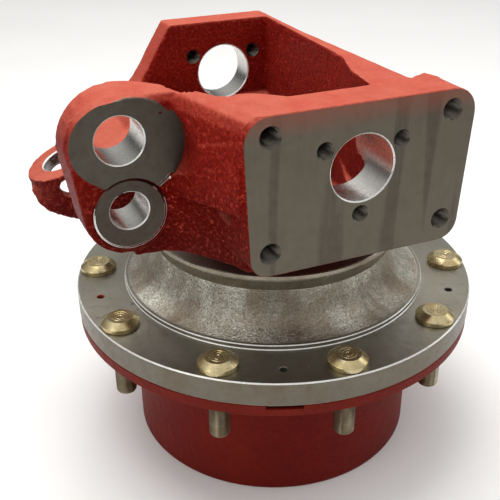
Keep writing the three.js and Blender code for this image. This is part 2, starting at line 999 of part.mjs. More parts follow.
// plugs with a hexagon socket
const drainPlug = radialCylinder(
  9.0,
  COVER_CAVITY_R + 1.5,
  COVER_BARREL_R - 4.6,
  DRAIN_ANGLE,
  96,
  12,
)
  .add(
    radialCylinder(
      13.4,
      COVER_BARREL_R - 4.7,
      COVER_BARREL_R - 0.8,
      DRAIN_ANGLE,
      96,
      12,
    ),
  )
  .subtract(
    radialCylinder(5.2, COVER_BARREL_R - 9, COVER_BARREL_R + 5, DRAIN_ANGLE, 96, 6),
  );
place("drain_plug", drainPlug, ZINC);
const [fx, fy] = polar(96, 30);
place(
  "filler_plug",
  cylZ(fx, fy, 9.0, 3.7, 11.6, 12)
    .add(cylZ(fx, fy, 13.4, 0.6, 3.9, 12))
    .subtract(cylZ(fx, fy, 5.2, -2, 7.5, 6)),
  ZINC,
);

// ------------------------------------------------------------------- bearings
// up = +1: the rollers' large ends face up; z0 is the cup's narrow end.
function taperBearing(name, z0, up, d, rollers, seg) {
  const Z = (v) => z0 + up * v;
  place(
    name + "_cup",
    turned(
      [
        [d.cupIn0, Z(0)],
        [d.od, Z(0)],
        [d.od, Z(d.cupW)],
        [d.cupIn1, Z(d.cupW)],
      ],
      seg,
    ),
    GEAR,
  );
  place(
    name + "_cone",
    turned(
      [
        [d.bore, Z(d.cone0)],
        [d.race0, Z(d.cone0)],
        [d.race1, Z(d.rib - 0.4)],
        [d.race1 + 2.6, Z(d.rib)],
        [d.race1 + 2.6, Z(d.cone1)],
        [d.bore, Z(d.cone1)],
      ],
      seg,
    ),
    GEAR,
  );
  const zm = (d.cone0 + 2 + d.rib) / 2;
  const cupAt = (v) => d.cupIn0 + ((d.cupIn1 - d.cupIn0) * v) / d.cupW;
  const raceAt = (v) =>
    d.race0 +
    ((d.race1 - d.race0) * (v - d.cone0 - 2)) / (d.rib - d.cone0 - 2.4);
  const rc = (cupAt(zm) + raceAt(zm)) / 2;
  const slope = Math.atan(
    ((cupAt(zm + 5) + raceAt(zm + 5)) / 2 - rc) / 5,
  );
  const rr = ((cupAt(zm) - raceAt(zm)) / 2) * Math.cos(slope) - 0.9;
  const half = (d.rib - d.cone0 - 5) / 2;
  const t = Math.tan(slope);
  const outer = [];
  const inner = [];
  const pitch = (2 * Math.PI) / rollers;
  for (let k = 0; k < rollers; k++)
    for (const [f, h] of [
      [-0.36, 1.4],
      [-0.2, rr],
      [0.2, rr],
      [0.36, 1.4],
    ]) {
      const a = (k + f) * pitch;
      outer.push([(rc + h) * Math.cos(a), (rc + h) * Math.sin(a)]);
      inner.push([(rc - h) * Math.cos(a), (rc - h) * Math.sin(a)]);
    }
  const shape = shapeOf(outer);
  shape.holes.push(new THREE.Path(inner.map(([a, b]) => new THREE.Vector2(a, b))));
  const g = new THREE.ExtrudeGeometry(shape, {
    depth: 2 * half,
    bevelEnabled: false,
    steps: 1,
  });
  // lean the rollers out towards the large end
  const pos = g.getAttribute("position");
  for (let k = 0; k < pos.count; k++) {
    const v = pos.getZ(k) - half;
    const r = Math.hypot(pos.getX(k), pos.getY(k));
    const f = (r + up * v * t) / r;
    pos.setXYZ(k, pos.getX(k) * f, pos.getY(k) * f, Z(zm) + v);
  }
  const cage = toSolid(g);
  place(name + "_rollers", cage, TURNED);
}
taperBearing(
  "inner_bearing",
  160.0,
  1,
  {
    bore: INNER_SEAT_R + 0.4,
    od: 85.0,
    cupIn0: 74.0,
    cupIn1: 80.0,
    cupW: 27,
    cone0: 1,
    cone1: 32.0,
    race0: 61.0,
    race1: 66.0,
    rib: 26.5,
  },
  12,
  32,
);
taperBearing(
  "outer_bearing",
  119.8,
  -1,
  {
    bore: OUTER_SEAT_R + 0.4,
    od: 68.0,
    cupIn0: 58.0,
    cupIn1: 63.0,
    cupW: 24,
    cone0: -1,
    cone1: 28.8,
    race0: 48.0,
    race1: 52.5,
    rib: 23.5,
  },
  12,
  32,
);

// hub seal: a cassette pressed in the collar
place(
  "hub_seal",
  turned(
    [
      [66.2, 194.5],
      [90.0, 194.5],
      [90.0, 206.0],
      [86.0, 206.0],
      [86.0, 198.5],
      [66.2, 198.5],
    ],
    32,
  ),
  BLACK,
);

// -------------------------------------------------------- fixed ring gear end
const ringSpace = gearOutline(
  Z_RING,
  R_RING + 1.25 * MODULE,
  R_RING - 0.8 * MODULE,
  -BACKLASH - 0.15,
  ringPhase,
  2,
);
const RING_OUT = 112.0;
const ringBlank = cylZ(0, 0, RING_OUT, RING_Z[0], RING_Z[1], 36);
const ringGear = ringBlank
  .subtract(prismZ(ringSpace, RING_Z[0] - 2, RING_Z[1] + 2))
  .add(
    turned(
      [
        [103.5, RING_Z[1] - 0.5],
        [RING_OUT, RING_Z[1] - 0.5],
        [RING_OUT, 88],
        [100.2, 88],
        [100.2, 85],
        [103.5, 85],
      ],
      36,
    ),
  );
place("ring_gear", ringGear, GEAR);

// dogs that enter every third tooth space of the ring gear
const carrierTeeth = [];
for (let k = 0; k < Z_RING; k += 3)
  for (const [f, r] of [
    [-0.2, 90.9],
    [-0.12, R_RING + 1.5],
    [0.12, R_RING + 1.5],
    [0.2, 90.9],
  ])
    carrierTeeth.push(
      polar(r, (ringPhase / D2R) + ((k + f) * 360) / Z_RING),
    );
const ringCarrier = prismZ(carrierTeeth, 71, 81.6)
  .add(
    turned(
      [
        [36, 69.3],
        [56, 69.3],
        [56, 90.2],
        [36, 90.2],
      ],
      24,
    ),
  )
  .subtract(prismZ(splineOutline(16, 38.7, 40.4), 60, 100))
  .subtract(join([0, 120, 240].map((a) => cylZ(...polar(74, a + 30), 9, 60, 100, 8))));
place("ring_gear_carrier", ringCarrier, CAST);

place(
  "ring_gear_snap_ring",
  turned(
    [
      [95.0, 82.1],
      [102.8, 82.1],
      [102.8, 84.5],
      [95.0, 84.5],
    ],
    36,
  ).subtract(
    prismZ(
      [
        [60, -5],
        [120, -5],
        [120, 5],
        [60, 5],
      ],
      80,
      87,
    ),
  ),
  GEAR,
);

place(
  "nut_lock_washer",
  turned(
    [
      [37.8, 67.3],
      [49.0, 67.3],
      [49.0, 69.0],
      [37.8, 69.0],
    ],
    24,
  ),
  GEAR,
);
place(
  "spindle_nut",
  cut(
    turned(
      [
        [37.8, 57.2],
        [50.0, 57.2],
        [50.0, 66.9],
        [37.8, 66.9],
      ],
      24,
    ),
    [0, 90, 180, 270].map((a) => {
      const g = new THREE.BoxGeometry(10, 8, 6);
      g.translate(50, 0, 58);
      g.rotateZ((a + 45) * D2R);
      return toSolid(g);
    }),
  ),
  CAST,
);

// -------------------------------------------------------------------- planets
const TIP = 0.93 * MODULE;
const DEDENDUM = 1.25 * MODULE;
planetAngles.forEach((deg, i) => {
  const [px, py] = polar(PLANET_PCR, deg);
  const n = i + 1;
  const teeth = gearOutline(
    Z_PLANET,
    R_PLANET + TIP,
    R_PLANET - DEDENDUM,
    BACKLASH,
    planetPhase(deg * D2R),
    2,
  );
  place(
    "planet_gear_" + n,
    prismZ(teeth, GEAR_Z[0], GEAR_Z[1]).subtract(
      cylZ(0, 0, 20.6, 0, 70, 20),
    ),
    GEAR,
    gearbox,
    [px, py, 0],
  );
  place(
    "planet_bush_" + n,
    turned(
      [
        [16.6, 17.3],
        [20.1, 17.3],
        [20.1, 48.7],
        [16.6, 48.7],
      ],
      20,
    ),
    BRONZE,
    gearbox,
    [px, py, 0],
  );
  place(
    "planet_pin_" + n,
    turned(
      [
        [0, 5.3],
        [16, 5.3],
        [16, 49.5],
        [14.2, 49.5],
        [14.2, 51.9],
        [15.2, 53.2],
        [0, 53.2],
      ],
      16,
    ),
    TURNED,
    gearbox,
    [px, py, 0],
  );
  place(
    "planet_thrust_washer_" + n,
    turned(
      [
        [16.5, 15.3],
        [28, 15.3],
        [28, 16.7],
        [16.5, 16.7],
      ],
      16,
    ),
    BRONZE,
    gearbox,
    [px, py, 0],
  );
  place(
    "planet_retaining_ring_" + n,
    turned(
      [
        [14.6, 49.8],
        [23, 49.8],
        [23, 51.6],
        [14.6, 51.6],
      ],
      16,
    ),
    GEAR,
    gearbox,
    [px, py, 0],
  );
});

// ------------------------------------------------------------------ sun shaft
const sunTeeth = gearOutline(
  Z_SUN,
  R_SUN + TIP,
  R_SUN - DEDENDUM,
  BACKLASH,
  sunPhase,
  3,
);
place(
  "sun_gear_shaft",
  prismZ(sunTeeth, GEAR_Z[0], GEAR_Z[1])
    .add(
      turned(
        [
          [0, 15.4],
          [10, 15.4],
          [10, 17.1],
          [18.2, 17.1],
          [19, 52],
          [19, 236],
          [16.5, 236],
          [16.5, 244],
          [0, 244],
        ],
        20,
      ),
    )
    .add(prismZ(splineOutline(14, 16.4, 18.6), 243, 268)),
  GEAR,
);
place(
  "sun_thrust_pad",
  cylZ(0, 0, 15, 9.7, 15.1, 16),
  BRONZE,
);
place(
  "shaft_bush",
  turned(
    [
      [19.6, 215],
      [26.9, 215],
      [26.9, 233],
      [19.6, 233],
    ],
    20,
  ),
  BRONZE,
);
place(
  "shaft_seal",
  turned(
    [
      [19.8, 238.4],
      [30.9, 238.4],
      [30.9, 247],
      [27.5, 247],
      [27.5, 241.5],
      [19.8, 243.5],
    ],
    20,
  ),
  BLACK,
);

// o-ring in the cover's pilot bore
place(
  "cover_o_ring",
  turned(
    [
      [118.5, 122.6],
      [120.0, 124.2],
      [118.5, 125.7],
      [117.0, 124.2],
    ],
    40,
  ),
  BLACK,
);

export default gearbox;
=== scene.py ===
import math

import bmesh
import bpy
from mathutils import Matrix, Vector
from mathutils import noise as mnoise


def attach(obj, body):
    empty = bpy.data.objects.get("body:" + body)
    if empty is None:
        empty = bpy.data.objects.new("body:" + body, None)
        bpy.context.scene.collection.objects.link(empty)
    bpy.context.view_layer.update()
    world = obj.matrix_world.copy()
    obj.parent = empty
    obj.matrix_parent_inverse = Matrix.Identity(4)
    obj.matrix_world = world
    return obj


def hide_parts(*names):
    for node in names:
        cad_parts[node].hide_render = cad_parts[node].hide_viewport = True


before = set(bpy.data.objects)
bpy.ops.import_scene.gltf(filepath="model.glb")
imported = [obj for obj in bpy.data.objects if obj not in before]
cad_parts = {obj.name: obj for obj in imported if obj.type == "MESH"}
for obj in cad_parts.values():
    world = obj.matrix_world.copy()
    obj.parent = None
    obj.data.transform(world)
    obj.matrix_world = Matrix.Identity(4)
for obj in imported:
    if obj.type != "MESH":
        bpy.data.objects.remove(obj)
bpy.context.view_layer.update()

MM = 0.001
TAU = math.pi * 2
D2R = math.pi / 180
col = bpy.context.scene.collection


# ------------------------------------------------------------------ helpers
def mesh_object(name, verts, faces, smooth=True, angle=32):
    me = bpy.data.meshes.new(name)
    me.from_pydata([tuple(c * MM for c in v) for v in verts], [], faces)
    me.validate()
    ob = bpy.data.objects.new(name, me)
    col.objects.link(ob)
    bm = bmesh.new()
    bm.from_mesh(me)
    bmesh.ops.recalc_face_normals(bm, faces=bm.faces)
    bm.to_mesh(me)
    bm.free()
    if smooth:
        shade(ob, angle)
    return ob


def shade(ob, angle=32):
    me = ob.data
    me.polygons.foreach_set("use_smooth", [True] * len(me.polygons))
    me.set_sharp_from_angle(angle=math.radians(angle))
    me.update()


def lathe(name, profile, seg=192, xy=(0, 0), z=0.0, smooth=True, angle=32, phase=0.0):
    """A turned solid about Z, from (r, z) points in mm. On the axis at both ends, or closed on itself."""
    on_axis = profile[0][0] == 0 and profile[-1][0] == 0
    pts = profile[1:-1] if on_axis else profile
    verts, faces = [], []
    n = len(pts)
    for k in range(seg):
        a = TAU * k / seg + phase
        c, s = math.cos(a), math.sin(a)
        verts += [(xy[0] + r * c, xy[1] + r * s, z + h) for r, h in pts]
    rows = n - 1 if on_axis else n
    for k in range(seg):
        k2 = (k + 1) % seg
        for i in range(rows):
            j = (i + 1) % n
            faces.append((k * n + i, k * n + j, k2 * n + j, k2 * n + i))
    if on_axis:
        faces.append(tuple(k * n for k in range(seg)))
        faces.append(tuple(k * n + n - 1 for k in range(seg)))
    return mesh_object(name, verts, faces, smooth, angle)


def turn_y(ob, x, z):
    """Turns an object made about Z so that its axis is Y, through (x, z): height becomes y."""
    me = ob.data
    for v in me.vertices:
        a, b, h = v.co
        v.co = (x * MM + a, h, z * MM - b)
    me.update()
    return ob


def block(name, x0, x1, y0, y1, z0, z1):
    v = [(x, y, z) for x in (x0, x1) for y in (y0, y1) for z in (z0, z1)]
    f = [(0, 1, 3, 2), (4, 6, 7, 5), (0, 4, 5, 1), (2, 3, 7, 6), (0, 2, 6, 4), (1, 5, 7, 3)]
    return mesh_object(name, v, f, False)


def thread(name, r_out, depth, pitch, z0, z1, seg=32, per=6, start=0.0, lead=0.0, xy=(0, 0)):
    """A threaded rod about Z: its radius follows a helix. lead tapers the first millimetres at both ends."""
    n = max(2, int(round((z1 - z0) / pitch * per)))
    verts, faces = [], []
    for i in range(n + 1):
        z = z0 + (z1 - z0) * i / n
        for k in range(seg):
            a = TAU * k / seg
            t = (z / pitch - a / TAU + start) % 1.0
            tri = 1 - abs(2 * t - 1)
            f = min(1.0, max(0.0, (tri - 0.12) / 0.72))
            d = depth * (1 - f)
            if lead:
                e = min(z - z0, z1 - z)
                if e < lead:
                    d = max(d, depth * 1.05 * (1 - e / lead))
            r = r_out - d
            verts.append((xy[0] + r * math.cos(a), xy[1] + r * math.sin(a), z))
    for i in range(n):
        for k in range(seg):
            k2 = (k + 1) % seg
            faces.append((i * seg + k, i * seg + k2, (i + 1) * seg + k2, (i + 1) * seg + k))
    faces.append(tuple(range(seg - 1, -1, -1)))
    faces.append(tuple(n * seg + k for k in range(seg)))
    return mesh_object(name, verts, faces, True, 60)


def prism_y(name, outline_a, y_a, outline_b, y_b):
    """A solid between two (x, z) outlines with equal point counts."""
    n = len(outline_a)
    v = [(x, y_a, z) for x, z in outline_a] + [(x, y_b, z) for x, z in outline_b]
    f = [tuple(range(n)), tuple(range(2 * n - 1, n - 1, -1))]
    f += [(i, (i + 1) % n, n + (i + 1) % n, n + i) for i in range(n)]
    return mesh_object(name, v, f, False)


def rounded(corners, steps=8):
    out = []
    n = len(corners)
    for i in range(n):
        px, py = corners[i - 1][:2]
        cx, cy, r = corners[i]
        nx, ny = corners[(i + 1) % n][:2]
        a = Vector((px - cx, py - cy)).normalized()
        b = Vector((nx - cx, ny - cy)).normalized()
        half = math.acos(max(-1, min(1, a.dot(b)))) / 2
        d = r / math.tan(half)
        mid = (a + b).normalized()
        c = Vector((cx, cy)) + mid * (r / math.sin(half))
        s = Vector((cx, cy)) + a * d - c
        e = Vector((cx, cy)) + b * d - c
        a0 = math.atan2(s.y, s.x)
        a1 = math.atan2(e.y, e.x) - a0
        while a1 > math.pi:
            a1 -= TAU
        while a1 < -math.pi:
            a1 += TAU
        for k in range(steps + 1):
            t = a0 + a1 * k / steps
            out.append((c.x + r * math.cos(t), c.y + r * math.sin(t)))
    return out


def inset(corners, d):
    """The same rounded outline, drawn in by d on every side."""
    n = len(corners)
    pts = []
    for i in range(n):
        p = Vector(corners[i - 1][:2])
        c = Vector(corners[i][:2])
        q = Vector(corners[(i + 1) % n][:2])
        a = (p - c).normalized()
        b = (q - c).normalized()
        half = math.acos(max(-1, min(1, a.dot(b)))) / 2
        m = c + (a + b).normalized() * (d / math.sin(half))
        pts.append((m.x, m.y, max(0.5, corners[i][2] - d)))
    return pts


def solidify_mesh(ob, kind, tool):
    m = ob.modifiers.new("b", "BOOLEAN")
    m.operation = kind
    m.object = tool
    m.solver = "MANIFOLD"
    apply_all(ob)
    bpy.data.objects.remove(tool)


def apply_all(ob):
    dg = bpy.context.evaluated_depsgraph_get()
    dg.update()
    me = bpy.data.meshes.new_from_object(ob.evaluated_get(dg))
    old = ob.data
    ob.modifiers.clear()
    ob.data = me
    if old.users == 0:
        bpy.data.meshes.remove(old)


def cut(ob, *tools):
    for t in tools:
        solidify_mesh(ob, "DIFFERENCE", t)


def add(ob, *tools):
    for t in tools:
        solidify_mesh(ob, "UNION", t)


def polar(r, deg):
    return r * math.cos(deg * D2R), r * math.sin(deg * D2R)


# ---------------------------------------------------------------- materials
class Nodes:
    """A short way to build a node material."""

    def __init__(self, name):
        self.mat = bpy.data.materials.new(name)
        self.mat.use_nodes = True
        self.t = self.mat.node_tree
        self.t.nodes.clear()
        self.out = self.t.nodes.new("ShaderNodeOutputMaterial")
        self.bsdf = self.t.nodes.new("ShaderNodeBsdfPrincipled")
        self.t.links.new(self.bsdf.outputs[0], self.out.inputs[0])
        self.pos = self.t.nodes.new("ShaderNodeTexCoord").outputs["Object"]

    def link(self, a, b):
        self.t.links.new(a, b)

    def set(self, socket, value):
        s = self.bsdf.inputs[socket]
        if hasattr(value, "is_linked"):
            self.link(value, s)
        else:
            s.default_value = value

    def noise(self, scale, detail=3, rough=0.55, vec=None, distort=0.0):
        n = self.t.nodes.new("ShaderNodeTexNoise")
        n.inputs["Scale"].default_value = scale
        n.inputs["Detail"].default_value = detail
        n.inputs["Roughness"].default_value = rough
        n.inputs["Distortion"].default_value = distort
        self.link(vec or self.pos, n.inputs["Vector"])
        return n.outputs["Fac"]

    def voronoi(self, scale, vec=None, feature="F1"):
        n = self.t.nodes.new("ShaderNodeTexVoronoi")
        n.feature = feature
        n.inputs["Scale"].default_value = scale
        self.link(vec or self.pos, n.inputs["Vector"])
        return n.outputs["Distance"]

    def ramp(self, fac, stops, interpolation="LINEAR"):
        n = self.t.nodes.new("ShaderNodeValToRGB")
        n.color_ramp.interpolation = interpolation
        el = n.color_ramp.elements
        while len(el) < len(stops):
            el.new(0.5)
        for e, (p, c) in zip(el, stops):
            e.position = p
            e.color = (c, c, c, 1) if isinstance(c, (int, float)) else (*c, 1)
        self.link(fac, n.inputs[0])
        return n.outputs["Color"]

    def math(self, op, a, b=None, c=None, clamp=False):
        n = self.t.nodes.new("ShaderNodeMath")
        n.operation = op
        n.use_clamp = clamp
        for i, v in enumerate((a, b, c)):
            if v is None:
                continue
            if hasattr(v, "is_linked"):
                self.link(v, n.inputs[i])
            else:
                n.inputs[i].default_value = v
        return n.outputs[0]

    def mix(self, fac, a, b, blend="MIX"):
        n = self.t.nodes.new("ShaderNodeMix")
        n.data_type = "RGBA"
        n.blend_type = blend
        for i, v in ((0, fac), (6, a), (7, b)):
            if hasattr(v, "is_linked"):
                self.link(v, n.inputs[i])
            elif i == 0:
                n.inputs[i].default_value = v
            else:
                n.inputs[i].default_value = (*v, 1)
        return n.outputs[2]

    def xyz(self, vec=None):
        n = self.t.nodes.new("ShaderNodeSeparateXYZ")
        self.link(vec or self.pos, n.inputs[0])
        return n.outputs

    def scaled(self, x, y, z, vec=None):
        n = self.t.nodes.new("ShaderNodeMapping")
        n.inputs["Scale"].default_value = (x, y, z)
        self.link(vec or self.pos, n.inputs["Vector"])
        return n.outputs[0]

    def combine(self, x, y, z):
        n = self.t.nodes.new("ShaderNodeCombineXYZ")
        for i, v in enumerate((x, y, z)):
            if hasattr(v, "is_linked"):
                self.link(v, n.inputs[i])
            else:
                n.inputs[i].default_value = v
        return n.outputs[0]

    def bump(self, height, strength=0.5, distance=0.001, normal=None):
        n = self.t.nodes.new("ShaderNodeBump")
        if hasattr(strength, "is_linked"):
            self.link(strength, n.inputs["Strength"])
        else:
            n.inputs["Strength"].default_value = strength
        n.inputs["Distance"].default_value = distance
        self.link(height, n.inputs["Height"])
        if normal is not None:
            self.link(normal, n.inputs["Normal"])
        return n.outputs[0]

    def normal_z(self):
        g = self.t.nodes.new("ShaderNodeNewGeometry")
        return self.xyz(g.outputs["Normal"])[2]

    def pointy(self):
        g = self.t.nodes.new("ShaderNodeNewGeometry")
        return g.outputs["Pointiness"]

    def radius(self, cx=0.0, cy=0.0, axis="Z"):
        p = self.xyz()
        a, b = (p[0], p[1]) if axis == "Z" else (p[0], p[2])
        da = self.math("SUBTRACT", a, cx * MM)
        db = self.math("SUBTRACT", b, cy * MM)
        return self.math(
            "SQRT",
            self.math("ADD", self.math("MULTIPLY", da, da), self.math("MULTIPLY", db, db)),
        )


def cast_paint(name, dark, light, dust_and_sheen, rough=0.42, grain=1.0, worn=0.5, lay=0.85):
    m = Nodes(name)
    big = m.noise(16, 4, 0.6)
    mid = m.noise(130, 4, 0.6)
    fine = m.ramp(m.noise(370, 5, 0.72), [(0.38, 0.0), (0.60, 1.0)])
    pits = m.voronoi(380)
    up = m.ramp(m.normal_z(), [(0.20, 0.0), (0.85, 1.0)])
    side = m.math("SUBTRACT", 1.0, m.math("MULTIPLY", up, 0.72))
    c = m.mix(m.ramp(big, [(0.35, 0.0), (0.68, 1.0)]), dark, light)
    c = m.mix(m.math("MULTIPLY", m.ramp(mid, [(0.45, 0.0), (0.75, 1.0)]), 0.30), c, light)
    # lower down the colour is deeper and darker: painted shade for the lower parts, which sit in shade
    painted_shade_low = m.ramp(m.math("MULTIPLY", m.math("SUBTRACT", m.xyz()[2], 0.225), 8.0), [(0.15, 1.0), (0.85, 0.0)])
    c = m.mix(m.math("MULTIPLY", painted_shade_low, 0.80 * min(1.0, grain)), c, tuple(0.30 * v for v in dark))
    # the grain: painted shade in the hollows and a painted highlight on the peaks of the side faces, standing in for
    # light on the cast relief
    low = m.math("MULTIPLY", m.ramp(fine, [(0.0, 1.0), (0.5, 0.0)]), 0.80 * grain)
    c = m.mix(m.math("MULTIPLY", low, side), c, tuple(0.38 * v for v in dark))
    high = m.math("MULTIPLY", m.ramp(fine, [(0.62, 0.0), (1.0, 1.0)]), 0.42 * grain)
    c = m.mix(m.math("MULTIPLY", high, side), c, tuple(0.5 * a + 0.5 * b for a, b in zip(light, dust_and_sheen)))
    # what faces up turns paler: partly a dull dust film, partly painted sheen standing in for the top light
    up_dust_and_sheen = m.math("MULTIPLY", up, m.ramp(m.noise(38, 5, 0.65), [(0.28, 0.55), (0.60, 1.0)]))
    c = m.mix(m.math("MULTIPLY", up_dust_and_sheen, lay), c, dust_and_sheen)
    # paint is thin on outer edges; inner corners are darker, painted shade where shade gathers in them
    p = m.pointy()
    c = m.mix(m.math("MULTIPLY", m.ramp(p, [(0.52, 0.0), (0.60, 1.0)]), worn), c, dust_and_sheen)
    c = m.mix(m.math("MULTIPLY", m.ramp(p, [(0.42, 1.0), (0.49, 0.0)]), 0.6), c, tuple(0.3 * v for v in dark))
    specks = m.ramp(pits, [(0.0, 1.0), (0.12, 0.0)])
    c = m.mix(m.math("MULTIPLY", specks, 0.5), c, tuple(0.2 * v for v in dark))
    m.set("Base Color", c)
    m.set("Metallic", 0.0)
    m.set("Specular IOR Level", 0.09)
    m.set("Roughness", m.math("ADD", m.math("MULTIPLY", fine, 0.12), rough - 0.06))
    h = m.math("ADD", m.math("MULTIPLY", fine, 0.8), m.math("MULTIPLY", m.ramp(pits, [(0.0, 0.0), (0.30, 1.0)]), 0.45))
    n1 = m.bump(mid, 0.5, 0.0030)
    m.set("Normal", m.bump(h, m.math("MULTIPLY", side, min(1.0, 0.95 * grain)), 0.0026 * max(grain, 0.3), n1))
    return m.mat


def steel(name, base, tint, rough=0.32, metal=0.9, kind="ring", axis="Z", centre=(0, 0), pitch=1.0, bump=0.12, stain=0.35, aniso=0.0):
    """Machined steel. kind: ring (turned face), line (turned or bored wall), mill (straight cutter bands), plain."""
    m = Nodes(name)
    big = m.noise(26, 5, 0.62)
    mott = m.noise(150, 5, 0.65)
    if kind == "ring":
        r = m.radius(*centre, axis=axis)
        t = m.noise(1, 3, 0.7, m.combine(m.math("MULTIPLY", r, 1900 / pitch), 0.0, 0.0))
        f = m.noise(1, 2, 0.5, m.combine(m.math("MULTIPLY", r, 420 / pitch), 3.0, 0.0))
    elif kind == "line":
        p = m.xyz()
        a = p[2] if axis == "Z" else p[1]
        t = m.noise(1, 3, 0.7, m.combine(m.math("MULTIPLY", a, 2600 / pitch), 0.0, 0.0))
        f = m.noise(1, 2, 0.5, m.combine(m.math("MULTIPLY", a, 500 / pitch), 5.0, 0.0))
    elif kind == "mill":
        t = m.noise(1, 4, 0.7, m.scaled(2300, 60, 40))
        f = m.noise(1, 2, 0.5, m.scaled(260, 60, 6))
    else:
        t = m.noise(900, 3, 0.6)
        f = m.noise(220, 3, 0.6)
    c = m.mix(m.ramp(t, [(0.25, 0.0), (0.75, 1.0)]), tuple(v * 0.72 for v in base), tuple(min(1, v * 1.18) for v in base))
    c = m.mix(m.math("MULTIPLY", m.ramp(f, [(0.35, 0.0), (0.7, 1.0)]), 0.35), c, tuple(v * 0.75 for v in base))
    c = m.mix(m.math("MULTIPLY", m.ramp(big, [(0.42, 0.0), (0.72, 1.0)]), stain), c, tint)
    c = m.mix(m.math("MULTIPLY", m.ramp(mott, [(0.50, 0.0), (0.80, 1.0)]), 0.30), c, tuple(v * 0.6 for v in tint))
    if kind == "mill":
        # faint cutter lanes, and red overspray that fades down from the upper edge
        lane = m.noise(1, 1, 0.4, m.scaled(46, 0, 3))
        c = m.mix(m.math("MULTIPLY", m.ramp(lane, [(0.44, 0.0), (0.48, 1.0)]), 0.40), c, tuple(v * 1.6 for v in base))
        z = m.math("ADD", m.xyz()[2], m.math("MULTIPLY", m.noise(60, 4, 0.6), 0.012))
        c = m.mix(m.math("MULTIPLY", m.ramp(m.math("MULTIPLY", m.math("SUBTRACT", z, 0.345), 28.0), [(0.30, 0.0), (0.85, 1.0)]), 0.55), c, (0.30, 0.075, 0.05))
    m.set("Base Color", c)
    m.set("Metallic", metal)
    if aniso:
        tg = m.t.nodes.new("ShaderNodeTangent")
        tg.direction_type = "RADIAL"
        tg.axis = "Z"
        m.set("Anisotropic", aniso)
        m.set("Tangent", tg.outputs[0])
    m.set("Roughness", m.math("ADD", m.math("MULTIPLY", m.ramp(mott, [(0.3, 0.0), (0.8, 1.0)]), 0.16), m.math("ADD", m.math("MULTIPLY", t, 0.12), rough - 0.12)))
    m.set("Normal", m.bump(t, bump, 0.0006, m.bump(mott, 0.10, 0.0008)))
    return m.mat


def cast_iron(name, base, brown, rough=0.42, metal=0.75):
    """Bare sand-cast iron: a coarse sparkling grain with brown stains."""
    m = Nodes(name)
    grain = m.noise(560, 5, 0.74)
    lump = m.noise(330, 4, 0.6)
    wide = m.noise(24, 4, 0.6)
    c = m.mix(m.ramp(grain, [(0.32, 0.0), (0.66, 1.0)]), tuple(v * 0.30 for v in base), tuple(min(1, v * 2.1) for v in base))
    c = m.mix(m.math("MULTIPLY", m.ramp(wide, [(0.40, 0.0), (0.60, 1.0)]), 0.62), c, brown)
    # streaks of flash rust run around the wall
    p = m.xyz()
    turn = m.math("ARCTAN2", p[1], p[0])
    streak = m.noise(1, 3, 0.6, m.combine(m.math("MULTIPLY", turn, 2.6), m.math("MULTIPLY", p[2], 9.0), 0.0))
    c = m.mix(m.math("MULTIPLY", m.ramp(streak, [(0.46, 0.0), (0.62, 1.0)]), 0.55), c, tuple(v * 0.55 for v in brown))
    m.set("Base Color", c)
    m.set("Metallic", metal)
    m.set("Roughness", m.math("ADD", m.math("MULTIPLY", lump, 0.3), rough - 0.1))
    h = m.math("ADD", m.math("MULTIPLY", grain, 0.6), lump)
    m.set("Normal", m.bump(h, 0.85, 0.0010))
    return m.mat


def rubber(name, base):
    m = Nodes(name)
    n = m.noise(500, 4, 0.6)
    c = m.mix(m.ramp(m.noise(60, 4), [(0.4, 0.0), (0.7, 1.0)]), base, tuple(v * 1.9 + 0.01 for v in base))
    m.set("Base Color", c)
    m.set("Roughness", m.math("ADD", m.math("MULTIPLY", n, 0.2), 0.5))
    m.set("Normal", m.bump(n, 0.25, 0.0004))
    return m.mat


def plated(name, base, warm, rough=0.27):
    """Yellow passivated zinc: cloudy tint over a fine satin."""
    m = Nodes(name)
    a = m.noise(95, 4, 0.65)
    b = m.noise(330, 4, 0.6)
    fine = m.noise(1500, 3, 0.6)
    c = m.mix(m.ramp(a, [(0.35, 0.0), (0.68, 1.0)]), base, warm)
    c = m.mix(m.math("MULTIPLY", m.ramp(b, [(0.52, 0.0), (0.80, 1.0)]), 0.5), c, tuple(v * 0.45 for v in warm))
    m.set("Base Color", c)
    m.set("Metallic", 0.9)
    m.set("Roughness", m.math("ADD", m.math("MULTIPLY", b, 0.22), rough - 0.08))
    m.set("Normal", m.bump(fine, 0.10, 0.0003, m.bump(b, 0.12, 0.0006)))
    return m.mat


RED = cast_paint("red_primer_cast", (0.38, 0.006, 0.0015), (0.50, 0.016, 0.005), (0.57, 0.140, 0.090), 0.42, 1.0, 0.25)
# the cover's red is a darker copy of the red primer: painted shade for the cover low under the flange
COVER_RED_SHADED = cast_paint("red_primer_cover_painted_shade", (0.150, 0.004, 0.001), (0.200, 0.008, 0.002), (0.34, 0.050, 0.028), 0.50, 0.30, 0.20, 0.3)
MILLED = steel("milled_face", (0.104, 0.091, 0.070), (0.070, 0.050, 0.034), 0.36, 0.85, "mill", bump=0.10, stain=0.45)
SPOT1 = steel("spot_face_upper", (0.094, 0.084, 0.067), (0.062, 0.043, 0.030), 0.38, 0.85, "ring", "Y", (-156.6, 334.8), 1.0, 0.16, 0.4)
# the lower spot face is a darker copy of the upper one: painted shade
SPOT2 = steel("spot_face_lower", (0.074, 0.059, 0.047), (0.050, 0.030, 0.021), 0.36, 0.85, "ring", "Y", (-153.0, 277.6), 1.0, 0.16, 0.4)
BORE_Y = steel("bored_wall_y", (0.62, 0.61, 0.58), (0.42, 0.38, 0.32), 0.26, 0.95, "line", "Y", bump=0.15, stain=0.25)
BORE_Z = steel("bored_wall_z", (0.52, 0.51, 0.49), (0.36, 0.33, 0.28), 0.28, 0.95, "line", "Z", bump=0.15, stain=0.25)
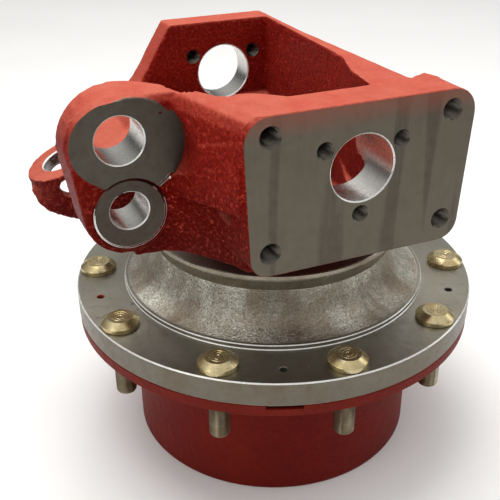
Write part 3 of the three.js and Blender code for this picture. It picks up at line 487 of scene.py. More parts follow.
# near-white, barely metallic chamfer colour: a painted highlight on the cut edges
EDGE_HIGHLIGHT = steel("painted_highlight_edge", (0.86, 0.85, 0.82), (0.60, 0.57, 0.50), 0.30, 0.35, "plain", bump=0.05, stain=0.15)
THREAD = steel("cut_thread", (0.105, 0.095, 0.08), (0.06, 0.042, 0.03), 0.30, 0.85, "plain", bump=0.05, stain=0.5)
FLANGE = steel("turned_flange", (0.33, 0.315, 0.265), (0.22, 0.195, 0.145), 0.32, 0.92, "ring", "Z", (0, 0), 1.0, 0.18, 0.5, 0.75)
# the turned rim is a darker copy of the turned flange: the darkness is painted shade, the brown tint is stain
FLANGE_SIDE_SHADED = steel("turned_rim_painted_shade", (0.17, 0.155, 0.125), (0.12, 0.085, 0.05), 0.34, 0.90, "line", "Z", bump=0.18, stain=0.6, aniso=0.6)
COLLAR = steel("turned_collar", (0.34, 0.31, 0.25), (0.13, 0.08, 0.045), 0.30, 0.92, "line", "Z", bump=0.15, stain=0.85, aniso=0.7)
DISH = cast_iron("cast_dish", (0.50, 0.475, 0.415), (0.25, 0.170, 0.105), 0.32, 0.85)
CAST = cast_iron("cast_iron_inner", (0.26, 0.25, 0.235), (0.15, 0.12, 0.09), 0.5, 0.6)
RING = steel("retainer_ring", (0.40, 0.375, 0.32), (0.22, 0.18, 0.13), 0.36, 0.85, "ring", "Z", (0, 0), 1.0, 0.14, 0.5, 0.6)
ZINC = plated("yellow_zinc", (0.56, 0.49, 0.30), (0.46, 0.34, 0.15), 0.24)
ZINC_THREAD = plated("yellow_zinc_thread", (0.34, 0.30, 0.22), (0.22, 0.17, 0.10), 0.32)
DARK_STEEL = steel("plain_steel", (0.34, 0.34, 0.33), (0.22, 0.19, 0.16), 0.34, 0.92, "plain", bump=0.1, stain=0.35)
GROUND = steel("ground_steel", (0.62, 0.62, 0.61), (0.50, 0.48, 0.44), 0.20, 0.97, "line", "Z", bump=0.08, stain=0.2)
ROLLER = steel("roller_steel", (0.55, 0.55, 0.55), (0.42, 0.40, 0.36), 0.24, 0.97, "plain", bump=0.05, stain=0.25)
GEARS = steel("oiled_gear_steel", (0.42, 0.42, 0.42), (0.30, 0.26, 0.20), 0.26, 0.95, "plain", bump=0.08, stain=0.35)
BRONZE = steel("turned_bronze", (0.56, 0.36, 0.15), (0.36, 0.20, 0.08), 0.30, 0.95, "line", "Z", bump=0.12, stain=0.35)
RUBBER = rubber("seal_rubber", (0.018, 0.018, 0.018))
HOLE_DARK = steel("drilled_wall", (0.20, 0.18, 0.15), (0.10, 0.07, 0.05), 0.45, 0.8, "line", "Y", bump=0.2, stain=0.5)
HOLE_RED = cast_paint("overspray_hole", (0.25, 0.03, 0.015), (0.36, 0.05, 0.025), (0.42, 0.10, 0.06), 0.5, 0.4, 0.2)


def skin(ob, *mats):
    ob.data.materials.clear()
    for mt in mats:
        ob.data.materials.append(mt)


def paint_faces(ob, rule):
    """rule(centre in mm, normal) gives the material index of a face."""
    me = ob.data
    n = len(me.polygons)
    idx = [0] * n
    for i, p in enumerate(me.polygons):
        c = p.center
        idx[i] = rule(c.x / MM, c.y / MM, c.z / MM, p.normal)
    me.polygons.foreach_set("material_index", idx)
    me.update()


def finish_piece(ob, body, node):
    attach(ob, body)
    if node:
        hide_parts(*([node] if isinstance(node, str) else node))
    return ob


# ------------------------------------------------------------------- camera
R = (
    (0.919058053316344, -0.3940686848683186, -0.006493553767080468),
    (-0.19232561566347503, -0.43404433524464336, -0.880122930391943),
    (0.34401039547379586, 0.8101329438111929, -0.4747014442339239),
)
EYE = (-0.2887224141505137, -0.6249506047922176, 0.5464211477923988)
cam_data = bpy.data.cameras.new("camera")
cam_data.sensor_width = 36.0
cam_data.lens = 815.0761704557839 / 500 * 36
cam_data.clip_start = 0.01
cam = bpy.data.objects.new("camera", cam_data)
cam.matrix_world = Matrix(
    (
        (R[0][0], -R[1][0], -R[2][0], EYE[0]),
        (R[0][1], -R[1][1], -R[2][1], EYE[1]),
        (R[0][2], -R[1][2], -R[2][2], EYE[2]),
        (0, 0, 0, 1),
    )
)
col.objects.link(cam)
bpy.context.scene.camera = cam

# --------------------------------------------------------- steering knuckle
TOP_Z = 368.5
KINGPIN_Z = 318.5
FRONT_FACE = -155.0
REAR_FACE = 146.2
PLATE = [(-94.9, TOP_Z, 20), (-88.4, 245.0, 16), (88.4, 245.0, 16), (94.9, TOP_Z, 20)]
CORNER_HOLES = [(-73.5, 352.8), (73.5, 352.8), (-73.0, 264.0), (73.0, 264.0)]
RING_HOLES = [
    (36.1 * math.cos(a * D2R), KINGPIN_Z + 36.1 * math.sin(a * D2R)) for a in (150, 30, -90)
]
PAD = ((-162.1, 331.6, 32.6), (-147.1, 328.7, 37.2))
PAD_TOP = (-152.8, 317.4, 49.2)
PAD_Y = -72.0
STEP1 = (-146.5, 327.2, 38.9)
STEP2 = (-151.9, 273.8, 29.1)
BORE1 = (-156.6, 334.8, 18.9)
BOSS2 = (-152.6, 274.6, 27.9, -70.8)
BORE2 = (-153.0, 277.6, 15.3)
BACK = -32.0
EAR = (-170.5, 100.0, 261.5)
EAR_TILT = 21.6


def rod_y(name, x, z, profile, seg=96):
    return turn_y(lathe(name, profile, seg, smooth=False), x, z)


def cyl_y(name, x, z, r, y0, y1, seg=64):
    return rod_y(name, x, z, [(0, y0), (r, y0), (r, y1), (0, y1)], seg)


def on_ear(ob):
    t = Matrix.Translation(Vector(EAR) * MM) @ Matrix.Rotation(-EAR_TILT * D2R, 4, "Y")
    ob.data.transform(t)
    return ob


def oval(grow=0.0, n=128):
    """The upper pad's outline: two circles drawn together, flattened at the top."""
    px, pz = -153.0, 329.5

    def reach(dx, dz, cx, cz, r):
        x, z = px - cx, pz - cz
        b = x * dx + z * dz
        q = b * b - (x * x + z * z - r * r)
        return -b + math.sqrt(q) if q > 0 else 0.0

    out = []
    for k in range(n):
        a = TAU * k / n
        dx, dz = math.cos(a), math.sin(a)
        d = 0.0
        for i in range(25):
            t = i / 24
            c = [PAD[0][j] * (1 - t) + PAD[1][j] * t for j in range(3)]
            d = max(d, reach(dx, dz, c[0], c[1], c[2] + grow))
        d = min(d, reach(dx, dz, PAD_TOP[0], PAD_TOP[1], PAD_TOP[2] + grow))
        out.append((px + d * dx, pz + d * dz))
    return out


def node_copy(node, name):
    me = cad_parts[node].data.copy()
    me.name = name
    bm = bmesh.new()
    bm.from_mesh(me)
    bmesh.ops.remove_doubles(bm, verts=bm.verts, dist=2e-6)
    bm.to_mesh(me)
    bm.free()
    ob = bpy.data.objects.new(name, me)
    col.objects.link(ob)
    return ob


def grain_relief(ob):
    """Sand-cast relief: side walls and undersides carry a coarse grain, upper faces stay smooth."""
    me = ob.data
    moves = []
    for v in me.vertices:
        n = v.normal
        f = 0.35 + 0.65 * max(0.0, 1.0 - max(0.0, n.z) * 1.6)
        d = mnoise.noise(v.co * 330.0) * 0.55 + mnoise.noise(v.co * 150.0 + Vector((7, 3, 1))) * 0.35
        moves.append(n * (d * f * 0.0006))
    for v, m in zip(me.vertices, moves):
        v.co += m
    me.update()


def make_knuckle():
    k = node_copy("steering_knuckle", "knuckle_casting")
    k.data.materials.clear()
    # the rough casting: no holes yet, and stock left on the machined faces
    cut(k, block("t", -130, 130, -130, 130, 40, 204))
    add(
        k,
        prism_y("t", rounded(PLATE), -158.0, rounded(PLATE), -150.0),
        cyl_y("t", 0, KINGPIN_Z, 27.6, -157.5, -121.0),
        cyl_y("t", 0, KINGPIN_Z, 27.6, 118.8, 146.0),
        cyl_y("t", BORE1[0], BORE1[1], 20.4, -73.0, BACK),
        cyl_y("t", BORE2[0], BORE2[1], 16.8, -73.0, BACK),
        prism_y("t", oval(-1.7), -74.0, oval(3.2), -64.5),
    )
    for x, z in CORNER_HOLES:
        add(k, cyl_y("t", x, z, 8.8, -157.0, -124.0, 24))
    for x, z in RING_HOLES:
        add(k, cyl_y("t", x, z, 7.4, -157.0, -130.0, 24))
        add(k, cyl_y("t", x, z, 7.4, 118.8, 145.8, 24))
    add(k, on_ear(lathe("t", [(0, -11), (21.8, -11), (21.8, 0), (0, 0)], 48, smooth=False)))
    add(k, lathe("t", [(0, 200), (33, 200), (33, 250), (0, 250)], 48, smooth=False))
    m = k.modifiers.new("r", "REMESH")
    m.mode = "VOXEL"
    m.voxel_size = 0.0016
    m.use_smooth_shade = True
    s = k.modifiers.new("s", "SMOOTH")
    s.factor = 0.5
    s.iterations = 3
    apply_all(k)
    grain_relief(k)

    # machining
    grown = inset(PLATE, -2.0)
    drawn = inset(PLATE, 0.6)
    frame_cut = block("t", -125, 125, -175, FRONT_FACE + 2.6, 228, 388)
    keep = mesh_object(
        "t",
        [(x, FRONT_FACE + 8, z) for x, z in rounded(grown)]
        + [(x, FRONT_FACE + 2.6, z) for x, z in rounded(grown)]
        + [(x, FRONT_FACE, z) for x, z in rounded(drawn)],
        [tuple(range(36)), tuple(range(107, 71, -1))]
        + [(i, (i + 1) % 36, 36 + (i + 1) % 36, 36 + i) for i in range(36)]
        + [(36 + i, 36 + (i + 1) % 36, 72 + (i + 1) % 36, 72 + i) for i in range(36)],
        False,
    )
    cut(frame_cut, keep)
    cut(k, frame_cut)
    cut(k, block("t", -130, 130, -130, 130, 190, 213.0))
    add(k, rod_y("t", 0, KINGPIN_Z, [(0, 138), (47, 138), (47, REAR_FACE - 0.5), (46.5, REAR_FACE), (0, REAR_FACE)], 128))
    cut(k, prism_y("t", oval(3.2), -130.0, oval(3.2), PAD_Y))
    x, z, r = STEP1
    add(k, rod_y("t", x, z, [(0, PAD_Y + 0.9), (r - 1.1, PAD_Y + 0.9), (r, PAD_Y + 2.0), (r, -64), (0, -64)], 160))
    x, z, r = PAD[1]
    add(k, rod_y("t", x, z, [(0, PAD_Y), (r - 0.5, PAD_Y), (r + 0.2, PAD_Y + 0.7), (r + 0.2, -64), (0, -64)], 160))
    x, z, r, y = BOSS2
    cut(k, cyl_y("t", x, z, r + 0.9, -125.0, y + 1.3, 128), cyl_y("t", STEP2[0], STEP2[1], STEP2[2] + 1.5, -125.0, y + 2.2, 128))
    x, z, r = STEP2
    add(k, rod_y("t", x, z, [(0, y + 0.7), (r - 1.0, y + 0.7), (r, y + 1.7), (r, y + 9), (0, y + 9)], 128))
    x, z, r, y = BOSS2
    add(k, rod_y("t", x, z, [(0, y), (r - 0.6, y), (r, y + 0.6), (r, y + 9), (0, y + 9)], 128))
    # a small sand pit in the upper pad
    cut(k, rod_y("t", -124.5, 352.0, [(0, -76), (1.1, -76), (1.0, -71.0), (0, -71.0)], 12))
    for (bx, bz, br), y in ((BORE1, PAD_Y), (BORE2, BOSS2[3])):
        cut(
            k,
            rod_y(
                "t", bx, bz,
                [(0, y - 12), (br + 0.9, y - 12), (br + 0.9, y), (br, y + 0.9), (br, BACK - 1.0), (br + 1.0, BACK), (br + 1.0, BACK + 12), (0, BACK + 12)],
                128,
            ),
        )
    cut(
        k,
        rod_y("t", 0, KINGPIN_Z, [(0, -165), (27.0, -165), (27.0, -155), (26, -154), (26, -122), (27, -121), (27, -90), (0, -90)], 160),
        rod_y("t", 0, KINGPIN_Z, [(0, 96), (27.0, 96), (27.0, 118.8), (26, 119.8), (26, 145.2), (27, 146.2), (27, 156), (0, 156)], 160),
    )
    for x, z in CORNER_HOLES:
        cut(
            k,
            turn_y(thread("t", 8.0, 1.15, 2.0, -158.0, -127.0, 32), x, z),
            rod_y("t", x, z, [(0, -160), (8.5, -160), (8.5, -155.0), (6.9, -153.4), (0, -153.4)], 48),
        )
    for x, z in RING_HOLES:
        cut(
            k,
            turn_y(thread("t", 6.5, 1.0, 1.75, -158.0, -133.0, 28), x, z),
            rod_y("t", x, z, [(0, -160), (6.9, -160), (6.9, -155.0), (5.5, -153.6), (0, -153.6)], 40),
            turn_y(thread("t", 6.5, 1.0, 1.75, 112.0, 152.0, 28), x, z),
            rod_y("t", x, z, [(0, 108), (6.9, 108), (6.9, 118.8), (5.5, 120.2), (0, 120.2)], 40),
        )
    cut(
        k,
        on_ear(
            lathe(
                "t",
                [(0, -40), (21.4, -40), (21.4, -11.0), (20.3, -9.9), (20.3, -1.1), (21.4, 0.0), (21.4, 40), (0, 40)],
                128, smooth=False,
            )
        ),
    )

    # spindle, turned, with its nut thread and splines
    sp = lathe(
        "t",
        [(0, 68.9), (36.4, 68.9), (36.4, 69.4), (37.9, 69.4), (38.3, 69.8), (38.3, 90.5), (41.6, 90.5), (42.3, 91.2), (42.3, 121), (43.5, 123.5), (49.0, 124), (50, 125), (50, 156),
         (54.2, 159.2), (55, 160), (55, 192.0), (55.6, 192.5), (63.2, 192.6), (64, 193.4), (64, 206.4), (66, 208.4), (77.2, 208.6), (78, 209.4), (79.2, 213.5), (79.2, 222), (0, 222)],
        160, smooth=False,
    )
    cut(sp, lathe("t", [(0, 60), (24, 60), (24, 230), (0, 230)], 96, smooth=False))
    add(k, sp)
    tn = thread("t", 37.1, 1.2, 2.0, 56.0, 69.2, 96, 6, 0.0, 1.4)
    cut(tn, lathe("t", [(0, 50), (25.2, 50), (25.2, 56), (24, 57.2), (24, 75), (0, 75)], 96, smooth=False))
    add(k, tn)
    teeth = []
    for i in range(16):
        for f, r in ((-0.46, 37.4), (-0.25, 39.8), (0.25, 39.8), (0.46, 37.4)):
            teeth.append(polar(r, (i + f) * 22.5))
    n = len(teeth)
    spl = mesh_object(
        "t",
        [(x, y, 69.9) for x, y in teeth] + [(x, y, 89.8) for x, y in teeth],
        [tuple(range(n)), tuple(range(2 * n - 1, n - 1, -1))] + [(i, (i + 1) % n, n + (i + 1) % n, n + i) for i in range(n)],
        False,
    )
    cut(spl, lathe("t", [(0, 60), (30, 60), (30, 100), (0, 100)], 64, smooth=False))
    add(k, spl)
    cut(
        k,
        lathe(
            "t",
            [(0, 200), (24, 200), (24, 213.2), (24.8, 214), (27.3, 214), (27.3, 237.4), (27.9, 238), (31.3, 238), (31.3, 249.2), (32.4, 250.3), (32.4, 262), (0, 262)],
            128, smooth=False,
        ),
    )
    skin(k, RED, MILLED, SPOT1, SPOT2, BORE_Y, BORE_Z, EDGE_HIGHLIGHT, THREAD, FLANGE_SIDE_SHADED, HOLE_DARK)
    ct, st = math.cos(EAR_TILT * D2R), math.sin(EAR_TILT * D2R)

    def rule(x, y, z, n):
        if z < 214.2:
            return 8 if abs(n.z) < 0.6 else 1
        if y < -154.9 and n.y < -0.98:
            return 1
        if y < -152.0 and n.y < -0.5 and abs(n.y) < 0.9 and math.hypot(x, z - KINGPIN_Z) > 48 and min(math.hypot(x - a, z - b) for a, b in CORNER_HOLES) > 9:
            return 0
        if y > REAR_FACE - 0.2 and n.y > 0.98 and math.hypot(x, z - KINGPIN_Z) < 47.2:
            return 1
        q = math.hypot(x, z - KINGPIN_Z)
        if (y < -100 or y > 118) and 25.7 < q < 27.3:
            return 6 if 0.3 < abs(n.y) < 0.95 else 4
        for a, b in CORNER_HOLES:
            if y < -126 and math.hypot(x - a, z - b) < 8.7:
                return 7
        for a, b in RING_HOLES:
            if (y < -132 or y > 111) and math.hypot(x - a, z - b) < 7.05:
                return 7
        if -73 < y < -60:
            d1 = math.hypot(x - PAD[1][0], z - PAD[1][1])
            s1 = math.hypot(x - STEP1[0], z - STEP1[1])
            d2 = math.hypot(x - BOSS2[0], z - BOSS2[1])
            s2 = math.hypot(x - STEP2[0], z - STEP2[1])
            if y < -71.95 and n.y < -0.98:
                return 2
            # the boss chamfers take the painted highlight only on their lower right, where light catches them
            if 36.6 < d1 < 37.6 and y < -71.2 and 0.3 < abs(n.y) < 0.97:
                return 6 if z < 346 and x > -141 else 2
            if -71.2 < y < -69.9 and 36.0 < s1 < 39.1 and abs(n.y) > 0.3:
                return 2 if abs(n.y) > 0.97 or z > 342 or x < -150 else 6
            if -70.9 < y < -70.7 and n.y < -0.98 and d2 < 28:
                return 3
            if 27.0 < d2 < 28.1 and y < -70.1 and 0.3 < abs(n.y) < 0.97:
                return 6 if z < 278 else 3
            if -70.2 < y < -69.0 and 26.8 < s2 < 29.3 and abs(n.y) > 0.3:
                return 3 if abs(n.y) > 0.97 or z > 284 else 6
            if 27.5 < d2 < 29.5 and abs(n.y) < 0.3 and y < -70.4 and z > 296:
                return 3
        if -73 < y < -30:
            for bx, bz, br in (BORE1, BORE2):
                q = math.hypot(x - bx, z - bz)
                if br - 0.3 < q < br + 1.1:
                    return 6 if 0.3 < abs(n.y) < 0.97 else 4
        u = (x - EAR[0]) * ct + (z - EAR[2]) * st
        w = -(x - EAR[0]) * st + (z - EAR[2]) * ct
        q = math.hypot(u, y - EAR[1])
        if q < 21.5 and -11.3 < w < 0.3:
            nn = -n.x * st + n.z * ct
            return 6 if 0.3 < abs(nn) < 0.95 else 5
        q = math.hypot(x, y)
        if q < 32.5 and z < 250.5 and n.z < 0.8:
            return 5
        if q < 32.5 and z < 245:
            return 5
        return 0

    paint_faces(k, rule)
    shade(k, 38)
    flat = [p.material_index not in (1, 2, 3) for p in k.data.polygons]
    k.data.polygons.foreach_set("use_smooth", flat)
    finish_piece(k, "knuckle", "steering_knuckle")
    return k


make_knuckle()

# ---------------------------------------------------------------- wheel hub
STUD_PCR = 167.5
STUD_ANGLES = [-90 - 21.55 + 36 * (i - 2.5) for i in range(10)]
SCREW_PCR = 167.0
SCREW_ANGLES = [-111.55 + 72 * i for i in range(5)]
PLANETS = [polar(58.5, a) for a in (90, 210, 330)]


def make_hub():
    dish = [(137.2, 162.1), (134.0, 162.9), (131.0, 163.9), (128.0, 165.2), (125.2, 166.7), (122.6, 168.5), (120.2, 170.6), (118.0, 173.0),
            (116.2, 175.7), (114.6, 178.6), (113.3, 181.8), (112.3, 185.2), (111.5, 188.8), (110.9, 192.4), (110.5, 195.6)]
    prof = [
        (69.0, 92.5), (82.4, 92.5), (83, 93.1), (83, 112), (84, 115), (92, 126), (118.4, 126), (119.4, 127), (119.4, 136.3),
        (185.0, 136.3), (186.0, 137.3), (186.0, 157.3), (185.0, 158.3),
        (141.9, 158.3), (141.2, 159.0), (141.2, 161.9), (140.5, 162.6), (137.9, 162.6), (137.5, 162.1),
    ] + dish + [
        (110.2, 196.4), (110.9, 197.1), (113.0, 206.6), (112.4, 207.2),
        (91.0, 207.2), (90.4, 206.6), (90.4, 189.5), (85.4, 189), (85.4, 159.6), (77, 159.6), (77, 152), (61.5, 148), (61.5, 120.2), (68.3, 120.2), (68.3, 93.2),
    ]
    h = lathe("hub_turned", prof, 288, angle=24)
    for a in STUD_ANGLES:
        x, y = polar(STUD_PCR, a)
        cut(h, lathe("t", [(0, 130), (10.2, 130), (10.2, 136.3), (9.6, 136.9), (9.6, 165), (0, 165)], 48, (x, y), smooth=False))
    for a in SCREW_ANGLES:
        x, y = polar(SCREW_PCR, a)
        cut(h, lathe("t", [(0, 130), (5.4, 130), (5.4, 150.5), (3.2, 152.0), (3.2, 157.8), (3.7, 158.3), (3.7, 165), (0, 165)], 32, (x, y), smooth=False))
    skin(h, FLANGE, FLANGE_SIDE_SHADED, DISH, COLLAR, EDGE_HIGHLIGHT, HOLE_DARK, HOLE_RED)

    def rule(x, y, z, n):
        r = math.hypot(x, y)
        for a in SCREW_ANGLES:
            px, py = polar(SCREW_PCR, a)
            if math.hypot(x - px, y - py) < 5.6 and z > 137 and abs(n.z) < 0.8:
                return 6 if a in (SCREW_ANGLES[0] - 72, SCREW_ANGLES[4]) else 5
        # the rim's chamfers carry the painted highlight
        if r > 185.05:
            return 4 if 0.3 < abs(n.z) < 0.95 else 1
        if z > 158.25 and r > 141.95:
            return 0
        if 137.3 < r < 142 and z > 158.2:
            return 4 if 0.3 < abs(n.z) < 0.95 else 0
        if z > 161 and 110.25 < r < 137.6 and n.z < 0.999 and z < 196.3:
            return 2
        if 196.2 < z:
            if n.z > 0.95:
                return 0
            return 4 if z < 197.0 or z > 206.7 and r > 112 else 3
        return 1

    paint_faces(h, rule)
    shade(h, 24)
    finish_piece(h, "hub", "wheel_hub")


make_hub()


def make_ring():
    g = lathe("retainer_ring", [(86.0, 209.6), (86.6, 209.0), (116.2, 209.0), (117.0, 209.8), (117.0, 213.2), (116.2, 214.0), (101.0, 214.0), (100.6, 213.6), (99.4, 213.6), (99.0, 214.0), (86.6, 214.0), (86.0, 213.4)], 256, angle=24)
    skin(g, RING, COLLAR)
    paint_faces(g, lambda x, y, z, n: 1 if math.hypot(x, y) > 116.1 and abs(n.z) < 0.9 else 0)
    finish_piece(g, "knuckle", "seal_retainer_ring")


make_ring()


# --------------------------------------------------------------- wheel studs
def make_studs():
    head = lathe(
        "t",
        [(0, 118), (8.2, 118), (8.2, 124), (9.1, 125.5), (9.1, 156.5), (9.4, 158.36), (16.3, 158.36), (16.7, 158.76), (16.7, 162.5), (16.4, 162.9),
         (11.3, 166.7), (10.9, 167.0), (7.4, 167.0), (7.1, 166.84), (6.8, 167.0), (4.7, 167.0), (4.4, 166.86), (4.1, 167.0),
         (1.9, 167.0), (1.3, 166.7), (0, 166.7)],
        72, smooth=False,
    )
    add(head, thread("t", 8.95, 0.85, 1.5, 90.0, 126.5, 48, 6, 0.0, 1.3))
    skin(head, ZINC, ZINC_THREAD)
    paint_faces(head, lambda x, y, z, n: 1 if z < 126.6 else 0)
    me = head.data
    bpy.data.objects.remove(head)
    for i, a in enumerate(STUD_ANGLES):
        m = me.copy()
        x, y = polar(STUD_PCR, a)
        turn = (37 + 101 * i) % 360 * D2R
        m.transform(Matrix.Translation((x * MM, y * MM, 0)) @ Matrix.Rotation(turn, 4, "Z"))
        ob = bpy.data.objects.new("stud_%02d" % (i + 1), m)
        col.objects.link(ob)
        shade(ob, 20)
        finish_piece(ob, "hub", "wheel_stud_%02d" % (i + 1))


make_studs()


def prism_z(name, outline, z0, z1, drawn=None, edge=0.0):
    """An outline in XY raised from z0 to z1; its top rim may be drawn in by a factor over the last stretch."""
    n = len(outline)
    v = [(x, y, z0) for x, y in outline]
    rows = [(1.0, z1)] if not edge else [(1.0, z1 - edge), (drawn, z1)]
    for f, z in rows:
        v += [(x * f, y * f, z) for x, y in outline]
    f = [tuple(range(n - 1, -1, -1)), tuple(len(rows) * n + i for i in range(n))]
    for r in range(len(rows)):
        f += [(r * n + i, r * n + (i + 1) % n, (r + 1) * n + (i + 1) % n, (r + 1) * n + i) for i in range(n)]
    return mesh_object(name, v, f, False)


def hexagon(r):
    return [polar(r, 60 * i + 30) for i in range(6)]


def make_screws():
    s = lathe("t", [(0, 126.3), (8.9, 126.3), (9.5, 126.9), (4.9, 131.4), (4.3, 132.0), (0, 132.0)], 64, smooth=False)
    add(s, thread("t", 4.9, 0.6, 1.5, 131.2, 149.4, 32, 6, 0.0, 1.0))
    cut(s, prism_z("t", hexagon(3.5), 120, 130.0))
    skin(s, DARK_STEEL)
    me = s.data
    bpy.data.objects.remove(s)
    for i, a in enumerate(SCREW_ANGLES):
        m = me.copy()
        x, y = polar(SCREW_PCR, a)
        m.transform(Matrix.Translation((x * MM, y * MM, 0)) @ Matrix.Rotation((17 + 53 * i) * D2R, 4, "Z"))
        ob = bpy.data.objects.new("countersunk_screw_%d" % (i + 1), m)
        col.objects.link(ob)
        shade(ob, 28)
        finish_piece(ob, "hub", "cover_screw_%d" % (i + 1))


make_screws()


# --------------------------------------------------------------- gear cover
def radial(ob, deg, z):
    """Turns an object made about Z so that its axis points outwards at that angle; height becomes radius."""
    t = Matrix.Translation((0, 0, z * MM)) @ Matrix.Rotation(deg * D2R, 4, "Z") @ Matrix.Rotation(math.pi / 2, 4, "Y")
    ob.data.transform(t)
    return ob


def make_cover():
    prof = [
        (0, 0), (132.8, 0), (134.2, 0.5), (135.1, 1.8), (135.1, 121.6), (135.5, 123.6), (136.6, 125.1), (138.4, 125.9),
        (184.4, 125.9), (185.6, 127.1), (185.6, 135.0), (184.8, 135.9), (184.6, 136.0),
        (121.6, 136.0), (120.6, 135.0), (120.6, 122), (118, 122), (118, 19), (116, 14.5), (112, 12), (0, 12),
    ]
    c = lathe("gear_cover", prof, 288, smooth=False)
    for x, y in PLANETS:
        add(c, lathe("t", [(0, 11), (24.6, 11), (24.6, 12), (24, 13.5), (24, 15), (0, 15)], 96, (x, y), smooth=False))
        cut(c, lathe("t", [(0, 5), (16.4, 5), (16.4, 14.4), (17, 15), (17, 30), (0, 30)], 96, (x, y), smooth=False))
    for a in STUD_ANGLES:
        x, y = polar(STUD_PCR, a)
        cut(c, lathe("t", [(0, 115), (10.4, 115), (10.4, 125.9), (9.7, 126.6), (9.7, 142), (0, 142)], 48, (x, y), smooth=False))
    for a in SCREW_ANGLES:
        x, y = polar(SCREW_PCR, a)
        cut(c, lathe("t", [(0, 115), (12.0, 115), (12.0, 124.9), (5.4, 131.7), (5.4, 142), (0, 142)], 64, (x, y), smooth=False))
    cut(c, lathe("t", [(0, 9.4), (15.4, 9.4), (15.4, 11.4), (16, 12), (16, 30), (0, 30)], 64, smooth=False))
    fx, fy = polar(96, 30)
    cut(c, lathe("t", [(0, -5), (14.8, -5), (14.8, 0), (14, 0.8), (14, 4.2), (9.4, 4.2), (9.4, 30), (0, 30)], 64, (fx, fy), smooth=False))
    cut(c, radial(lathe("t", [(0, 100), (9.4, 100), (9.4, 130.1), (14, 130.1), (14, 150), (0, 150)], 64, smooth=False), 68, 96))
    slot = block("t", 185.6 - 12, 185.6 + 6, -15, 15, 132.8, 140)
    slot.data.transform(Matrix.Rotation(-111.5 * D2R, 4, "Z"))
    cut(c, slot)
    skin(c, COVER_RED_SHADED, FLANGE_SIDE_SHADED, HOLE_DARK)

    def rule(x, y, z, n):
        r = math.hypot(x, y)
        for a in STUD_ANGLES:
            px, py = polar(STUD_PCR, a)
            if math.hypot(x - px, y - py) < 9.9 and abs(n.z) < 0.6 and 126 < z < 136:
                return 2
        if z > 135.95 or (r < 121.7 and 121.9 < z) or (z > 4.5 and r < 118.2):
            return 1
        return 0

    paint_faces(c, rule)
    shade(c, 26)
    finish_piece(c, "hub", "planet_carrier_cover")

    d = lathe("drain_plug_body", [(0, 120.5), (8.3, 120.5), (9.0, 121.3), (9.0, 130.4), (13.0, 130.4), (13.4, 130.9), (13.4, 133.6), (12.7, 134.3), (0, 134.3)], 72, smooth=False)
    cut(d, prism_z("t", hexagon(5.8), 126.5, 140))
    radial(d, 68, 96)
    skin(d, DARK_STEEL)
    shade(d, 28)
    finish_piece(d, "hub", "drain_plug")
    f = lathe("filler_plug_body", [(0, 0.6), (12.7, 0.6), (13.4, 1.3), (13.4, 3.5), (13.0, 3.9), (9.0, 3.9), (9.0, 10.8), (8.3, 11.6), (0, 11.6)], 72, (fx, fy), smooth=False)
    hx = prism_z("t", hexagon(5.8), -4, 7.5)
    hx.data.transform(Matrix.Translation((fx * MM, fy * MM, 0)))
    cut(f, hx)
    skin(f, DARK_STEEL)
    shade(f, 28)
    finish_piece(f, "hub", "filler_plug")


make_cover()


# ------------------------------------------------- sun shaft, bush and seal
def make_sun():
    s = node_copy("sun_gear_shaft", "sun_shaft")
    s.data.materials.clear()
    cut(s, block("t", -30, 30, -30, 30, 50.0, 300))
    add(s, lathe("t", [(0, 46), (18.2, 46), (18.8, 50), (19, 52), (19, 235.2), (18.4, 236), (17.0, 236.2), (16.5, 236.8), (16.5, 244), (0, 244)], 96, smooth=False))
    out = []
    for i in range(14):
        for f, r in ((-0.46, 16.4), (-0.36, 16.9), (-0.22, 18.6), (0.22, 18.6), (0.36, 16.9), (0.46, 16.4)):
            out.append(polar(r, (i + f) * 360 / 14))
    add(s, prism_z("t", out, 242.6, 268.0, 0.94, 1.2))
    cut(s, lathe("t", [(0, 264.5), (3.2, 265.4), (4.4, 268.0), (4.4, 272), (0, 272)], 48, smooth=False))
    skin(s, GEARS, GROUND)
    paint_faces(s, lambda x, y, z, n: 1 if 52 < z < 236 else 0)
    shade(s, 28)
    finish_piece(s, "sun", "sun_gear_shaft")
    b = lathe("bronze_bush", [(19.6, 215.6), (20.2, 215), (26.3, 215), (26.9, 215.6), (26.9, 232.4), (26.3, 233), (20.2, 233), (19.6, 232.4)], 96, angle=24)
    skin(b, BRONZE)
    finish_piece(b, "knuckle", "shaft_bush")
    q = lathe("lip_seal", [(20.6, 238.4), (30.4, 238.4), (30.9, 238.9), (30.9, 246.5), (30.4, 247), (28.1, 247), (27.5, 246.4), (27.5, 242.4), (26.6, 241.6), (22.4, 241.9), (21.2, 244.2), (20.2, 244.4), (19.8, 243.2)], 128, angle=24)
    skin(q, RUBBER)
    finish_piece(q, "knuckle", "shaft_seal")


make_sun()

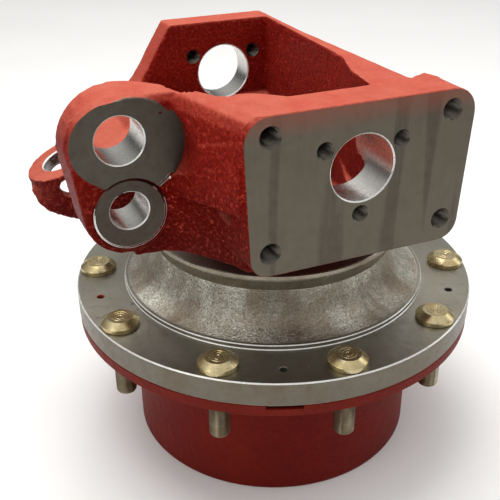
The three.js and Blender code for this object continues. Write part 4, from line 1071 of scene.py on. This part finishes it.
# --------------------------------- inner parts that keep their worked-out form
FINISH = {
    "inner_bearing_cup": GROUND, "inner_bearing_cone": GROUND, "outer_bearing_cup": GROUND, "outer_bearing_cone": GROUND,
    "inner_bearing_rollers": ROLLER, "outer_bearing_rollers": ROLLER,
    "hub_seal": RUBBER, "cover_o_ring": RUBBER,
    "ring_gear": GEARS, "ring_gear_carrier": CAST, "ring_gear_snap_ring": DARK_STEEL,
    "nut_lock_washer": DARK_STEEL, "spindle_nut": DARK_STEEL, "sun_thrust_pad": BRONZE,
}
for i in (1, 2, 3):
    FINISH["planet_gear_%d" % i] = GEARS
    FINISH["planet_bush_%d" % i] = BRONZE
    FINISH["planet_pin_%d" % i] = GROUND
    FINISH["planet_thrust_washer_%d" % i] = BRONZE
    FINISH["planet_retaining_ring_%d" % i] = DARK_STEEL
for node, finish in FINISH.items():
    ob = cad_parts[node]
    if ob.material_slots:
        for sl in ob.material_slots:
            sl.material = finish
    else:
        ob.data.materials.append(finish)


# -------------------------------------------------------------- stage, light
fl = mesh_object("floor", [(-6000, -6000, 0), (6000, -6000, 0), (6000, 6000, 0), (-6000, 6000, 0)], [(0, 1, 2, 3)], False)
fm = Nodes("pale_floor")
fm.set("Base Color", fm.mix(fm.ramp(fm.noise(3, 3), [(0.3, 0.0), (0.7, 1.0)]), (0.90, 0.90, 0.90), (0.93, 0.93, 0.93)))
fm.set("Roughness", 0.65)
skin(fl, fm.mat)

bpy.context.scene.view_settings.view_transform = "Standard"
world = bpy.data.worlds.new("studio")
bpy.context.scene.world = world
world.use_nodes = True
wt = world.node_tree
bg = wt.nodes["Background"]
wc = wt.nodes.new("ShaderNodeTexCoord")
wx = wt.nodes.new("ShaderNodeSeparateXYZ")
wr = wt.nodes.new("ShaderNodeValToRGB")
wt.links.new(wc.outputs["Generated"], wx.inputs[0])
wt.links.new(wx.outputs[2], wr.inputs[0])
wt.links.new(wr.outputs[0], bg.inputs[0])
for e, (at, v) in zip(wr.color_ramp.elements, ((0.10, 0.06), (0.80, 1.0))):
    e.position = at
    e.color = (v, v * 0.99, v * 0.97, 1)
bg.inputs[1].default_value = 1.0


def area(name, pos, target, size, power, color=(1, 1, 1)):
    d = bpy.data.lights.new(name, "AREA")
    d.shape = "RECTANGLE"
    d.size, d.size_y = size
    d.energy = power
    d.color = color
    o = bpy.data.objects.new(name, d)
    o.location = pos
    o.rotation_euler = (Vector(target) - Vector(pos)).to_track_quat("-Z", "Y").to_euler()
    col.objects.link(o)


area("top", (-0.15, 0.35, 1.9), (0, 0, 0.25), (1.5, 1.1), 23, (1.0, 0.985, 0.96))
area("left", (-1.5, -0.5, 1.2), (0, 0, 0.2), (0.8, 1.0), 3.5, (1.0, 0.98, 0.95))
area("right", (1.6, -0.3, 1.0), (0, 0, 0.2), (0.6, 1.0), 3.5, (0.96, 0.98, 1.0))
